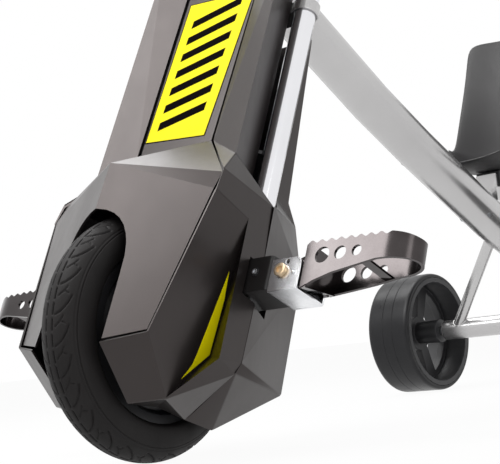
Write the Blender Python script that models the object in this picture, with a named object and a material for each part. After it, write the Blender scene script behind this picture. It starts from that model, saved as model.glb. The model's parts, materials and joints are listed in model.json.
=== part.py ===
"""Electric drift tricycle: a powered front wheel in a faceted cover, a curved backbone, a bucket seat.

Lengths are in metres, +Z is up and the machine faces -Y. The front end is drawn in the fork's own
frame, whose origin is the front wheel's centre and whose Z runs up along the fork legs. The rest is
drawn in the machine's frame, whose origin is the ground below the front axle.
"""

import math

import bmesh
import bpy
import numpy as np
from mathutils import Matrix, Vector

# Wheels and stance
WHEEL_RADIUS = 0.159
REAR_RADIUS = 0.120
WHEELBASE = 1.080
RAKE = math.radians(27.0)
GAP = 0.0003
FRONT_AXLE_Y = (WHEEL_RADIUS - WHEELBASE - REAR_RADIUS) / 2.0
FORK_TO_MACHINE = Matrix.Translation((0.0, 0.0, WHEEL_RADIUS)) @ Matrix.Rotation(-RAKE, 4, "X")

# Front tyre, hub motor and brake
TYRE_HALF = 0.0355
TYRE_WALL = 0.0055
RIM_HALF = 0.0268
RIM_SEAT = 0.1032
RIM_LIP = 0.1112
WHEEL_STEPS = 38
REAR_STEPS = 32
DOWNWARD = -math.pi / 2.0 + RAKE
MOTOR_HALF = 0.031
AXLE_RADIUS = 0.007
DISC_RADIUS = 0.075
DISC_THICK = 0.002
BOSS_END = 0.050
CALIPER_ANGLE = math.radians(28.0)

# Fork
FORK_OFFSET = 0.0455
LEG_X = 0.112
LEG_RADIUS = 0.0158
LEG_LOW = -0.020
LEG_SIDES = 20
DROPOUT_THICK = 0.006
DROPOUT_OUTER = LEG_X - 0.0135
DROPOUT_INNER = DROPOUT_OUTER - DROPOUT_THICK
CROWN_THICK = 0.018
LOWER_CROWN = 0.505
STEERER_RADIUS = 0.014
HEAD_RADIUS = 0.023
HEAD_BORE = 0.017
HEAD_LENGTH = 0.140
HEADSET_RADIUS = 0.027
HEADSET_LOW = 0.0164
HEADSET_HIGH = 0.010
HEAD_LOW = LOWER_CROWN + CROWN_THICK + HEADSET_LOW + 2.0 * GAP
UPPER_CROWN = HEAD_LOW + HEAD_LENGTH + HEADSET_HIGH + 2.0 * GAP
UPPER_CROWN_THICK = 0.016
LEG_TOP = UPPER_CROWN + UPPER_CROWN_THICK + 0.0054

# Covers
WALL = 0.0028
PARTING = 0.0450
SEAM = 0.0012
TOWER_TOP = 0.600
ARCH_HALF = 0.0585
ARCH_SPRING = 0.031
ARCH_TOP = 0.119
ARCH_STEPS = 8
LEG_HOLE = LEG_RADIUS + 0.0025
REAR_TOP = 0.500
PANEL_TOP = (0.070, -0.0137)
WING_TOP = (0.0745, -0.016)
RIDGE_TOP = (0.1275, -0.0355)
RIDGE_FOOT = (0.133, -0.044, 0.222)
TOWER_EDGE = (0.100, 0.027)

# Lid of the tower with its switch and charge port
CONSOLE_TOP = TOWER_TOP + GAP + 0.006
SWITCH = (0.045, 0.0)
PORT = (-0.045, -0.003)
ROCKER_TILT = math.radians(8.0)

# Tray and what it carries
TRAY_LOW = 0.270
TRAY_THICK = 0.006
BATTERY = (0.120, 0.048, 0.2135)
CONTROLLER = (0.080, 0.040, 0.1235)

# Foot pegs
PEG_PIVOT = (0.194, 0.0455, 0.077)
BLOCK_INNER = 0.093
BLOCK_OUTER = 0.176
BLOCK_HALF = 0.027
BLOCK_LOW = 0.055
BLOCK_TOP = 0.102
BRACKET_WALL = 0.003
CHEEK_GAP = 0.0245
TONGUE_HALF = 0.0235
PIN_RADIUS = 0.0042
PEG_HALF = 0.0295
PEG_PLATE = 0.004
PEG_ROOT = 0.229
PEG_TIP = 0.379

# Handlebar and controls
BAR_RADIUS = 0.011
BAR_SIDES = 12
BAR_CLAMP_LOW = UPPER_CROWN + UPPER_CROWN_THICK + GAP
BAR_HEIGHT = BAR_CLAMP_LOW + 0.0381
GRIP_RADIUS = 0.016
BAR_REACH = 0.372
CLAMP_INNER = 0.022
CLAMP_OUTER = 0.048
CONTROL_REACH = 0.2053
CONTROL_START = 0.050
CONTROL_END = CONTROL_START + 0.022
THROTTLE_END = CONTROL_END + GAP + 0.062
LEVER_PIVOT = ((CONTROL_START + CONTROL_END) / 2.0, 0.030)

# Frame, rear axle and seat
BACKBONE_RADIUS = 0.036
BACKBONE = (
    (0.318, 0.684),
    (0.467, 0.584),
    (0.577, 0.510),
    (0.691, 0.442),
    (0.806, 0.378),
    (0.922, 0.314),
    (1.020, 0.268),
    (1.085, 0.245),
)
REAR_AXLE_RADIUS = 0.008
CARRIER_RADIUS = 0.020
CARRIER_HALF = 0.220
REAR_WHEEL_X = 0.285
REAR_WHEEL_HALF = 0.0475
RAIL_HALF = 0.020
RAIL_FRONT = 0.925
RAIL_BACK = 1.165
RAIL_TOP = 0.400
RAIL_THICK = 0.050
CARRIAGE_FRONT = 0.935
CARRIAGE_LENGTH = 0.140
CARRIAGE_TOP = RAIL_TOP + GAP + 0.005
CLAMP_PIVOT = (RAIL_HALF + 2.0 * GAP + 0.004, 1.000, RAIL_TOP - 0.013)
SEAT_HALF = 0.160
SEAT_WALL = 0.006


def linear(channel):
    share = channel / 255.0
    return share / 12.92 if share <= 0.04045 else ((share + 0.055) / 1.055) ** 2.4


def material(name, srgb, roughness, metallic=0.0):
    made = bpy.data.materials.new(name)
    made.use_nodes = True
    shader = made.node_tree.nodes["Principled BSDF"]
    shader.inputs["Base Color"].default_value = (*(linear(c) for c in srgb), 1.0)
    shader.inputs["Roughness"].default_value = roughness
    shader.inputs["Metallic"].default_value = metallic
    return made


def solid(name, shape, look, frame, pivot=(0.0, 0.0, 0.0), side=1):
    """One piece from its bmesh; its origin is its pivot, and side -1 mirrors it to the rider's right."""
    pivot = Vector(pivot)
    bmesh.ops.translate(shape, verts=shape.verts, vec=-pivot)
    if side < 0:
        bmesh.ops.scale(shape, verts=shape.verts, vec=(-1.0, 1.0, 1.0))
        pivot.x = -pivot.x
    bmesh.ops.remove_doubles(shape, verts=shape.verts, dist=1e-6)
    bmesh.ops.recalc_face_normals(shape, faces=shape.faces)
    mesh = bpy.data.meshes.new(name)
    shape.to_mesh(mesh)
    shape.free()
    mesh.materials.append(look)
    mesh.shade_smooth()
    mesh.set_sharp_from_angle(angle=math.radians(32.0))
    piece = bpy.data.objects.new(name, mesh)
    bpy.context.scene.collection.objects.link(piece)
    piece.parent = frame
    piece.location = pivot
    return piece


def pair(name, make, look, frame, pivot=(0.0, 0.0, 0.0)):
    """The same piece on both sides of the machine."""
    for side, word in ((1, "left"), (-1, "right")):
        solid(f"{name}_{word}", make(), look, frame, pivot, side)


def laid(u, v, w, axis):
    return {"X": (w, u, v), "Y": (u, w, v), "Z": (u, v, w)}[axis]


def arc(centre, radius, start, end, steps):
    """Points on an arc from start to end, in degrees."""
    turns = np.radians(np.linspace(start, end, steps + 1))
    return [(centre[0] + radius * math.cos(t), centre[1] + radius * math.sin(t)) for t in turns]


def circle(centre, radius, sides, phase=0.0):
    return arc(centre, radius, phase, phase + 360.0, sides)[:-1]


def round_box(low, high, radius, steps=3):
    """A rectangle with rounded corners, counted from its lower left one."""
    corners = (
        (low[0] + radius, low[1] + radius, 180.0),
        (high[0] - radius, low[1] + radius, 270.0),
        (high[0] - radius, high[1] - radius, 0.0),
        (low[0] + radius, high[1] - radius, 90.0),
    )
    return [p for u, v, a in corners for p in arc((u, v), radius, a, a + 90.0, steps)]


def prism(outline, low, high, axis="Z", holes=()):
    """An outline with its holes, pushed from low to high along an axis."""
    shape = bmesh.new()
    edges = []
    for loop in (outline, *holes):
        ring = [shape.verts.new(laid(u, v, low, axis)) for u, v in loop]
        edges += [shape.edges.new((a, b)) for a, b in zip(ring, ring[1:] + ring[:1])]
    bmesh.ops.triangle_fill(shape, use_beauty=True, edges=edges)
    pushed = bmesh.ops.extrude_face_region(shape, geom=shape.faces[:])["geom"]
    moved = [item for item in pushed if isinstance(item, bmesh.types.BMVert)]
    bmesh.ops.translate(shape, verts=moved, vec=laid(0.0, 0.0, high - low, axis))
    bmesh.ops.recalc_face_normals(shape, faces=shape.faces)
    return shape


def box(low, high):
    outline = [(low[0], low[1]), (high[0], low[1]), (high[0], high[1]), (low[0], high[1])]
    return prism(outline, low[2], high[2])


def turned(profile, steps, axis="X", start=0.0):
    """A closed profile of (along, radius) points spun round an axis from a start angle."""
    shape = bmesh.new()
    across = Vector(laid(math.cos(start), math.sin(start), 0.0, axis))
    along = Vector(laid(0.0, 0.0, 1.0, axis))
    ring = [shape.verts.new(along * a + across * r) for a, r in profile]
    edges = [shape.edges.new((a, b)) for a, b in zip(ring, ring[1:] + ring[:1])]
    bmesh.ops.spin(
        shape,
        geom=ring + edges,
        cent=(0.0, 0.0, 0.0),
        axis=along,
        angle=2.0 * math.pi,
        steps=steps,
        use_merge=True,
    )
    bmesh.ops.remove_doubles(shape, verts=shape.verts, dist=1e-6)
    bmesh.ops.recalc_face_normals(shape, faces=shape.faces)
    return shape


def rounded_path(corners, radius, steps=4):
    """A path whose inner corners are arcs of one radius."""
    corners = [Vector(c) for c in corners]
    path = [corners[0]]
    for before, corner, after in zip(corners, corners[1:], corners[2:]):
        back = (before - corner).normalized()
        on = (after - corner).normalized()
        half = back.angle(on) / 2.0
        reach = radius / math.tan(half)
        centre = corner + (back + on).normalized() * (radius / math.sin(half))
        first = corner + back * reach - centre
        last = corner + on * reach - centre
        path += [centre + first.slerp(last, k / steps).normalized() * radius for k in range(steps + 1)]
    return path + [corners[-1]]


def sweep(path, radius, sides):
    """A round bar along a path, closed by flat ends."""
    path = [Vector(p) for p in path]
    shape = bmesh.new()
    heading = (path[1] - path[0]).normalized()
    across = heading.orthogonal().normalized()
    rings = []
    for k, place in enumerate(path):
        before = (place - path[k - 1]).normalized() if k else heading
        after = (path[k + 1] - place).normalized() if k + 1 < len(path) else before
        middle = (before + after).normalized()
        across = (across - middle * across.dot(middle)).normalized()
        other = middle.cross(across)
        turns = [2.0 * math.pi * i / sides for i in range(sides)]
        rings.append(
            [shape.verts.new(place + (across * math.cos(t) + other * math.sin(t)) * radius) for t in turns]
        )
    for near, far in zip(rings, rings[1:]):
        for i in range(sides):
            j = (i + 1) % sides
            shape.faces.new((near[i], near[j], far[j], far[i]))
    shape.faces.new(rings[0][::-1])
    shape.faces.new(rings[-1])
    bmesh.ops.recalc_face_normals(shape, faces=shape.faces)
    return shape


def combined(base, tool, operation):
    """The first shape less the second, both as one, or only what they share."""
    holders = []
    for shape in (base, tool):
        mesh = bpy.data.meshes.new("shape")
        shape.to_mesh(mesh)
        shape.free()
        holder = bpy.data.objects.new("shape", mesh)
        bpy.context.scene.collection.objects.link(holder)
        holders.append(holder)
    cut = holders[0].modifiers.new("cut", "BOOLEAN")
    cut.operation = operation
    cut.solver = "EXACT"
    cut.object = holders[1]
    bpy.context.view_layer.update()
    result = bmesh.new()
    result.from_object(holders[0], bpy.context.evaluated_depsgraph_get())
    for holder in holders:
        bpy.data.meshes.remove(holder.data)
    bmesh.ops.remove_doubles(result, verts=result.verts, dist=1e-6)
    bmesh.ops.dissolve_degenerate(result, edges=result.edges, dist=1e-6)
    bmesh.ops.recalc_face_normals(result, faces=result.faces)
    return result


def less(base, *tools):
    for tool in tools:
        base = combined(base, tool, "DIFFERENCE")
    return base


def joined(base, *others):
    for other in others:
        base = combined(base, other, "UNION")
    return base


def placed(shape, matrix):
    bmesh.ops.transform(shape, matrix=matrix, verts=shape.verts)
    return shape


def shell(points, faces, wall, inside, ends):
    """A thin wall: facets through named points, with each inner point one wall behind its facets.

    A rim that lies in one of the end planes, given as (axis, value), keeps its inner points there too.
    """
    shape = bmesh.new()
    outer = {name: shape.verts.new(place) for name, place in points.items()}
    skin = [shape.faces.new([outer[n] for n in names]) for names in faces]
    bmesh.ops.recalc_face_normals(shape, faces=skin)
    outward = sum((f.calc_center_median() - Vector(inside)).dot(f.normal) * f.calc_area() for f in skin)
    if outward < 0.0:
        bmesh.ops.reverse_faces(shape, faces=skin)
    bmesh.ops.connect_verts_nonplanar(shape, angle_limit=math.radians(0.5), faces=skin)
    shape.normal_update()
    skin = shape.faces[:]
    rim = [e for e in shape.edges if len(e.link_faces) == 1]
    inner = {}
    for vert in shape.verts[:]:
        normals = np.array([f.normal[:] for f in vert.link_faces])
        for axis, value in ends:
            if abs(vert.co[axis] - value) < 1e-6:
                normals[:, axis] = 0.0
        step = np.linalg.lstsq(normals, np.full(len(normals), -wall), rcond=0.12)[0]
        inner[vert] = shape.verts.new(vert.co + Vector(step))
    for face in skin:
        shape.faces.new([inner[v] for v in reversed(face.verts)])
    for edge in rim:
        a, b = edge.verts
        shape.faces.new((a, b, inner[b], inner[a]))
    bmesh.ops.recalc_face_normals(shape, faces=shape.faces)
    return shape


def both_sides(points):
    """Named points with their mirror images, whose names end in m; a point on the middle has none."""
    mirror = {f"{name}m": (-x, y, z) for name, (x, y, z) in points.items() if x}
    return {**points, **mirror}


def other_side(faces, points):
    """The same faces on the other side of the middle."""
    return [[f"{n}m" if f"{n}m" in points else n for n in names] for names in faces]


def nose(x, z):
    """The nose's flat facet, which leans back from the prow to each side."""
    return (x, -0.129 + 0.3577 * x + 0.0416 * (z - 0.187), z)


def flank(y, z):
    """The flat side of the cover."""
    return (0.1395 - 0.1276 * y + 0.0065 * z, y, z)


def pocket(y, z):
    """The sunk facet on the side of the cover, in front of the lip."""
    return (0.1136 - 0.1198 * y + 0.1832 * z, y, z)


def front_panel():
    """Nose, wheel arch and the middle of the tower, set a little behind the side covers' edges."""
    points = {
        "peak": (0.0, -0.129, 0.187),
        "corner": nose(0.1455, 0.150),
        "shoulder": (0.1455, -0.070, 0.178),
        "foot": (0.067, -0.0305, 0.263),
        "top": (*PANEL_TOP, TOWER_TOP),
        "hem": nose(0.1125, -0.0425),
        "sill": nose(0.0605, -0.0575),
    }
    arch = []
    for k in range(ARCH_STEPS + 1):
        turn = 0.5 * math.pi * k / ARCH_STEPS
        x = ARCH_HALF * math.sin(turn) ** (2.0 / 2.4)
        z = ARCH_SPRING + (ARCH_TOP - ARCH_SPRING) * max(math.cos(turn), 0.0) ** (2.0 / 2.4)
        arch.append(f"arch{k}")
        points[arch[-1]] = nose(x, z)
    half = [
        ["peak", *arch, "sill", "hem", "corner"],
        ["peak", "corner", "shoulder"],
        ["peak", "shoulder", "foot"],
    ]
    points = both_sides(points)
    middle = [["peak", "foot", "footm"], ["foot", "top", "topm", "footm"]]
    return shell(points, half + other_side(half, points) + middle, WALL, (0.0, 0.0, 0.1), [(2, TOWER_TOP)])


def parting_points(y):
    """Where the side and rear covers meet, round the machine's side and bottom."""
    return {
        "crest": (0.135, y, 0.188),
        "knee": (0.1336, y, -0.027),
        "chine": (0.128, y, -0.042),
        "keel": (0.059, y, -0.098),
    }


def side_cover():
    points = {
        "wing": (*WING_TOP, TOWER_TOP),
        "foot": (0.0725, -0.032, 0.261),
        "ridge_top": (*RIDGE_TOP, TOWER_TOP),
        "ridge": RIDGE_FOOT,
        "edge_top": (*TOWER_EDGE, TOWER_TOP),
        "edge": (*TOWER_EDGE, 0.229),
        "shoulder": flank(-0.073, 0.180),
        "crease": flank(-0.0775, 0.148),
        "apex": flank(-0.004, 0.147),
        "lip": flank(0.001, -0.040),
        "hem": (0.117, -0.100, -0.047),
        "sill": (0.062, -0.1205, -0.064),
        "well": pocket(0.017, -0.029),
        "tip": pocket(-0.031, -0.102),
        "belly": (0.054, -0.048, -0.112),
        "bilge": (0.059, -0.007, -0.101),
        **parting_points(PARTING),
    }
    faces = [
        ["foot", "wing", "ridge_top", "ridge"],
        ["ridge", "ridge_top", "edge_top", "edge"],
        ["foot", "ridge", "shoulder"],
        ["ridge", "crest", "shoulder"],
        ["ridge", "edge", "crest"],
        ["shoulder", "crest", "knee", "lip", "apex", "crease"],
        ["crease", "apex", "well", "tip", "hem"],
        ["apex", "lip", "well"],
        ["lip", "tip", "well"],
        ["lip", "knee", "chine"],
        ["lip", "chine", "tip"],
        ["tip", "chine", "keel"],
        ["tip", "keel", "bilge"],
        ["tip", "bilge", "belly"],
        ["hem", "tip", "belly", "sill"],
    ]
    cover = shell(points, faces, WALL, (0.0, 0.0, 0.1), [(1, PARTING), (2, TOWER_TOP)])
    return less(cover, leg_passage(), peg_window(PARTING + SEAM))


def rear_cover():
    front = PARTING + SEAM
    points = both_sides({
        "channel": (0.097, 0.066, 0.240),
        "channel_top": (0.097, 0.066, REAR_TOP),
        "back": (0.090, 0.115, 0.241),
        "back_top": (0.090, 0.093, REAR_TOP),
        "hip": (0.088, 0.142, 0.2155),
        "rump": (0.082, 0.180, 0.155),
        "heel": (0.0783, 0.190, -0.011),
        "lap": (0.055, 0.190, -0.011),
        "skid": (0.055, 0.100, -0.092),
        **parting_points(front),
    })
    half = [
        ["channel", "channel_top", "back_top", "back"],
        ["crest", "channel", "hip"],
        ["channel", "back", "hip"],
        ["crest", "hip", "rump"],
        ["crest", "rump", "heel", "knee"],
        ["knee", "heel", "chine"],
        ["chine", "heel", "skid"],
        ["heel", "lap", "skid"],
        ["chine", "skid", "keel"],
    ]
    middle = [
        ["back", "back_top", "back_topm", "backm"],
        ["back", "backm", "hipm", "hip"],
        ["hip", "hipm", "rumpm", "rump"],
        ["rump", "rumpm", "heelm", "lapm", "lap", "heel"],
    ]
    faces = half + other_side(half, points) + middle
    cover = shell(points, faces, WALL, (0.0, 0.08, 0.1), [(1, front), (2, REAR_TOP)])
    for side in (1, -1):
        turn = Matrix.Scale(side, 4, (1.0, 0.0, 0.0))
        for cutter in (leg_passage(), peg_notch()):
            placed(cutter, turn)
            bmesh.ops.recalc_face_normals(cutter, faces=cutter.faces)
            cover = less(cover, cutter)
    return cover


def leg_passage():
    return prism(circle((LEG_X, FORK_OFFSET), LEG_HOLE, LEG_SIDES), 0.120, 0.300)


def peg_window(back):
    """The side cover's opening for the peg's clamp block."""
    clear = 0.002
    return box(
        (BLOCK_INNER, FORK_OFFSET - BLOCK_HALF - clear, BLOCK_LOW - clear),
        (BLOCK_OUTER, back, BLOCK_TOP + clear),
    )


def peg_notch():
    """The rear cover is cut back further, which leaves room behind the clamp block."""
    clear = 0.006
    return box(
        (0.060, PARTING - 0.01, BLOCK_LOW - clear),
        (BLOCK_OUTER, FORK_OFFSET + BLOCK_HALF + 2.0 * clear, BLOCK_TOP + clear),
    )


def tyre():
    """A C-shaped carcass with its beads behind the rim's lips."""
    centre = (0.0, WHEEL_RADIUS - TYRE_HALF)
    outer = arc(centre, TYRE_HALF, 195.0, -15.0, 10)
    inner = arc(centre, TYRE_HALF - TYRE_WALL, -42.0, 222.0, 5)
    bead = RIM_SEAT + GAP
    right = [(RIM_HALF, RIM_LIP + GAP), (RIM_HALF - GAP, bead), (RIM_HALF - TYRE_WALL, bead)]
    left = [(-a, r) for a, r in reversed(right)]
    return turned(outer + right + inner + left, WHEEL_STEPS, "X", DOWNWARD)


def hub_motor():
    """Motor shell and rim in one casting, with the brake's boss on the rider's right."""
    lip = RIM_HALF + GAP
    half = [
        (0.034, AXLE_RADIUS + GAP),
        (0.034, 0.022),
        (MOTOR_HALF, 0.024),
        (MOTOR_HALF, 0.078),
        (0.022, 0.094),
        (lip + 0.0025, 0.100),
        (lip + 0.0025, RIM_LIP),
        (lip, RIM_LIP),
        (lip, RIM_SEAT),
    ]
    far = [(-a, r) for a, r in reversed(half[3:])]
    boss = [(-MOTOR_HALF, 0.034), (-BOSS_END, 0.032), (-BOSS_END, AXLE_RADIUS + GAP)]
    return turned(half + far + boss, WHEEL_STEPS, "X", DOWNWARD)


def brake_disc():
    windows = []
    for k in range(6):
        middle = 60.0 * k
        outer = arc((0.0, 0.0), 0.054, middle - 18.0, middle + 18.0, 3)
        inner = arc((0.0, 0.0), 0.038, middle + 14.0, middle - 14.0, 2)
        windows.append(outer + inner)
    low = -BOSS_END - GAP - DISC_THICK
    rim = circle((0.0, 0.0), DISC_RADIUS, 28)
    bore = circle((0.0, 0.0), 0.022, 14)
    return prism(rim, low, low + DISC_THICK, "X", [bore, *windows])


def polar(radius, turn):
    return (radius * math.cos(turn), radius * math.sin(turn))


def brake_caliper():
    """A block over the disc's rim, slotted for the disc, with an ear to the right dropout."""
    spread = math.radians(17.0)
    outline = [
        polar(0.048, CALIPER_ANGLE - spread),
        polar(0.084, CALIPER_ANGLE - spread),
        polar(0.091, CALIPER_ANGLE - 0.6 * spread),
        polar(0.091, CALIPER_ANGLE + 0.6 * spread),
        polar(0.084, CALIPER_ANGLE + spread),
        polar(0.048, CALIPER_ANGLE + spread),
    ]
    disc = -BOSS_END - GAP - DISC_THICK / 2.0
    slot = prism(circle((0.0, 0.0), DISC_RADIUS + 0.0015, 36), disc - 0.002, disc + 0.002, "X")
    block = less(prism(outline, -0.068, -0.040, "X"), slot)
    ear = prism(round_box((0.042, 0.016), (0.055, 0.032), 0.004), GAP - DROPOUT_INNER, -0.060, "X")
    return joined(block, ear)


def brake_arm():
    """The lever on the caliper that the brake's cable would pull."""
    hub = polar(0.064, CALIPER_ANGLE + math.radians(16.0))
    reach = Vector((0.25, 0.97)).normalized()
    tip = Vector(hub) + reach * 0.030
    heading = math.degrees(math.atan2(reach.y, reach.x))
    outline = arc(hub, 0.0065, heading + 90.0, heading + 270.0, 5)
    outline += arc(tip, 0.004, heading - 90.0, heading + 90.0, 4)
    return prism(outline, -0.0750, -0.068 - GAP, "X"), (-0.072, *hub)


def fork_leg():
    """A tube with the dropout welded to its foot; the axle's slot is open downwards."""
    tube = prism(circle((LEG_X, FORK_OFFSET), LEG_RADIUS, LEG_SIDES), LEG_LOW, LEG_TOP)
    slot = AXLE_RADIUS + GAP
    eye = 0.0235
    outline = [(slot, -0.022)]
    outline += arc((0.0, 0.0), slot, 0.0, 180.0, 6)
    outline += [(-slot, -0.022)]
    outline += arc((0.0, 0.0), eye, 250.0, 105.0, 6)
    outline += [(0.034, 0.052), (0.054, 0.052), (0.056, 0.046), (0.056, -0.014), (0.048, -0.022)]
    return joined(tube, prism(outline, DROPOUT_INNER, DROPOUT_OUTER, "X"))


def axle_nut():
    face = DROPOUT_OUTER + GAP
    hole = circle((0.0, 0.0), AXLE_RADIUS + GAP, 16)
    return prism(circle((0.0, 0.0), 0.0098, 6), face, face + 0.008, "X", [hole])


def crown(low, high):
    """A clamp plate with a ring round each leg and round the steerer."""
    ring = LEG_RADIUS + GAP + 0.0034
    half = 0.0145
    meet = math.degrees(math.asin(half / ring))
    right = arc((LEG_X, FORK_OFFSET), ring, 180.0 + meet, 540.0 - meet, 10)
    left = [(-x, y) for x, y in reversed(right)]
    boss = STEERER_RADIUS + 0.010
    swell = math.degrees(math.asin(half / boss))
    low_arc = arc((0.0, FORK_OFFSET), boss, 180.0 + swell, 360.0 - swell, 5)
    high_arc = arc((0.0, FORK_OFFSET), boss, swell, 180.0 - swell, 5)
    bores = [circle((x, FORK_OFFSET), LEG_RADIUS + GAP, LEG_SIDES) for x in (-LEG_X, LEG_X)]
    bores.append(circle((0.0, FORK_OFFSET), STEERER_RADIUS + GAP, 16))
    return prism(low_arc + right + high_arc + left, low, high, "Z", bores)


def ring_at(low, high, radius, bore):
    """A chamfered ring round the steering axis."""
    lip = 0.001
    profile = [
        (low, bore),
        (low, radius - lip),
        (low + lip, radius),
        (high - lip, radius),
        (high, radius - lip),
        (high, bore),
    ]
    return placed(turned(profile, 16, "Z"), Matrix.Translation((0.0, FORK_OFFSET, 0.0)))


def battery_tray():
    """A plate between the legs whose outline follows the inside of the tower's covers."""
    clear = WALL + GAP + 0.0002
    edge = Vector(TOWER_EDGE)
    share = (TRAY_LOW - RIDGE_FOOT[2]) / (TOWER_TOP - RIDGE_FOOT[2])
    ridge = Vector(RIDGE_FOOT[:2]).lerp(Vector(RIDGE_TOP), share)
    run = (ridge - edge).normalized()
    inward = Vector((run.y, -run.x))
    start = edge + inward * clear
    front = -0.0267
    tip = start + run * ((front - start.y) / run.y)
    hug = arc((LEG_X, FORK_OFFSET), LEG_RADIUS + GAP, 235.0, 125.0, 6)
    back = [(0.0936, 0.0657), (0.0868, 0.1072)]
    half = [tuple(tip), tuple(start - run * 0.001), *hug, *back]
    outline = half + [(-x, y) for x, y in reversed(half)]
    return prism(outline, TRAY_LOW, TRAY_LOW + TRAY_THICK)


def case(size, centre_y, low, radius):
    """A closed box with rounded upright edges, for the battery and the controller."""
    width, depth, height = size
    outline = round_box((-width / 2.0, centre_y - depth / 2.0), (width / 2.0, centre_y + depth / 2.0), radius)
    return prism(outline, low, low + height)


def motor_controller():
    """An aluminium case with cooling ribs along its back."""
    width, depth, height = CONTROLLER
    low = TRAY_LOW + TRAY_THICK + GAP
    front = 0.045
    back = front + depth
    outline = [(-width / 2.0, front), (width / 2.0, front), (width / 2.0, back)]
    ribs = 7
    pitch = width / ribs
    for k in range(ribs):
        right = width / 2.0 - k * pitch
        outline += [(right - 0.4 * pitch, back), (right - 0.4 * pitch, back - 0.006)]
        outline += [(right - pitch, back - 0.006)]
        if k + 1 < ribs:
            outline.append((right - pitch, back))
    return prism(outline, low, low + height)


def console_cap():
    """The lid of the tower, cut back round the head of the frame."""
    half = [(0.0, PANEL_TOP[1]), PANEL_TOP, WING_TOP, RIDGE_TOP, TOWER_EDGE, (0.060, 0.016)]
    outline = half + [(-x, y) for x, y in reversed(half) if x]
    return prism(outline, TOWER_TOP + GAP, CONSOLE_TOP)


def switch_bezel():
    x, y = SWITCH
    outline = round_box((x - 0.0145, y - 0.0105), (x + 0.0145, y + 0.0105), 0.003)
    hole = round_box((x - 0.0100, y - 0.0068), (x + 0.0100, y + 0.0068), 0.001, 1)
    low = CONSOLE_TOP + GAP
    return prism(outline, low, low + 0.005, "Z", [hole])


def power_switch():
    """A rocker, drawn tipped to its off side."""
    x, y = SWITCH
    pivot = (x, y, CONSOLE_TOP + 0.0045)
    outline = [(-0.0058, -0.0015), (0.0058, -0.0015), (0.0056, 0.0030), (0.0, 0.0022), (-0.0056, 0.0030)]
    rocker = prism(outline, -0.0094, 0.0094, "X")
    placed(rocker, Matrix.Translation(pivot) @ Matrix.Rotation(-ROCKER_TILT, 4, "X"))
    return rocker, pivot


def charge_port():
    """A round socket with two ears that hold its flap."""
    low = CONSOLE_TOP + GAP
    collar = prism(circle(PORT, 0.0105, 16), low, low + 0.008, "Z", [circle(PORT, 0.0070, 16)])
    step = low + 0.008
    ear = [(0.0072, low), (0.0145, low), (0.0145, step + 0.0025), (0.0098, step + 0.0025), (0.0098, step)]
    ear = [(PORT[1] + y, z) for y, z in [*ear, (0.0072, step)]]
    ears = [prism(ear, PORT[0] + x, PORT[0] + x + 0.0025, "X") for x in (-0.0070, 0.0045)]
    return joined(collar, *ears)


def charge_port_cap():
    """The flap, hinged at the rear of its socket."""
    low = CONSOLE_TOP + 2.0 * GAP + 0.008
    thick = 0.0022
    hinge = PORT[1] + 0.0125
    outline = arc(PORT, 0.0100, 115.0, 425.0, 12)
    outline += [(PORT[0] + 0.0040, hinge), (PORT[0] - 0.0040, hinge)]
    return prism(outline, low, low + thick), (PORT[0], hinge, low + thick / 2.0)


def peg_block():
    outline = round_box(
        (BLOCK_INNER, FORK_OFFSET - BLOCK_HALF), (BLOCK_OUTER, FORK_OFFSET + BLOCK_HALF), 0.006
    )
    hole = circle((LEG_X, FORK_OFFSET), LEG_RADIUS + GAP, LEG_SIDES)
    return prism(outline, BLOCK_LOW, BLOCK_TOP, "Z", [hole])


def peg_bracket():
    """A folded U of zinc-plated steel, with the pivot's holes in its cheeks."""
    face = BLOCK_OUTER + GAP
    half = CHEEK_GAP + BRACKET_WALL
    x, y, z = PEG_PIVOT
    base = box((face, y - half, 0.0505), (face + BRACKET_WALL, y + half, 0.0945))
    outline = [(face + 0.001, 0.0505), (0.221, 0.0505), (0.223, 0.0525), (0.223, 0.083), (0.209, 0.0945)]
    outline.append((face + 0.001, 0.0945))
    holes = [circle((x, z), PIN_RADIUS + GAP, 14), circle((x + 0.005, z + 0.0125), 0.0022, 6)]
    cheeks = [
        prism(outline, min(a, b), max(a, b), "Y", holes)
        for a, b in ((y - CHEEK_GAP, y - half), (y + CHEEK_GAP, y + half))
    ]
    return joined(base, *cheeks)


def peg_pivot():
    """The bolt that the peg turns on, its head on the front cheek and its nut on the rear one."""
    seat = CHEEK_GAP + BRACKET_WALL + GAP
    profile = [
        (-seat - 0.0045, 0.0),
        (-seat - 0.0045, 0.0074),
        (-seat - 0.0030, 0.0087),
        (-seat, 0.0087),
        (-seat, PIN_RADIUS),
        (seat, PIN_RADIUS),
        (seat, 0.0075),
        (seat + 0.0045, 0.0075),
        (seat + 0.0045, 0.0),
    ]
    return placed(turned(profile, 14, "Y"), Matrix.Translation(PEG_PIVOT))


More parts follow.
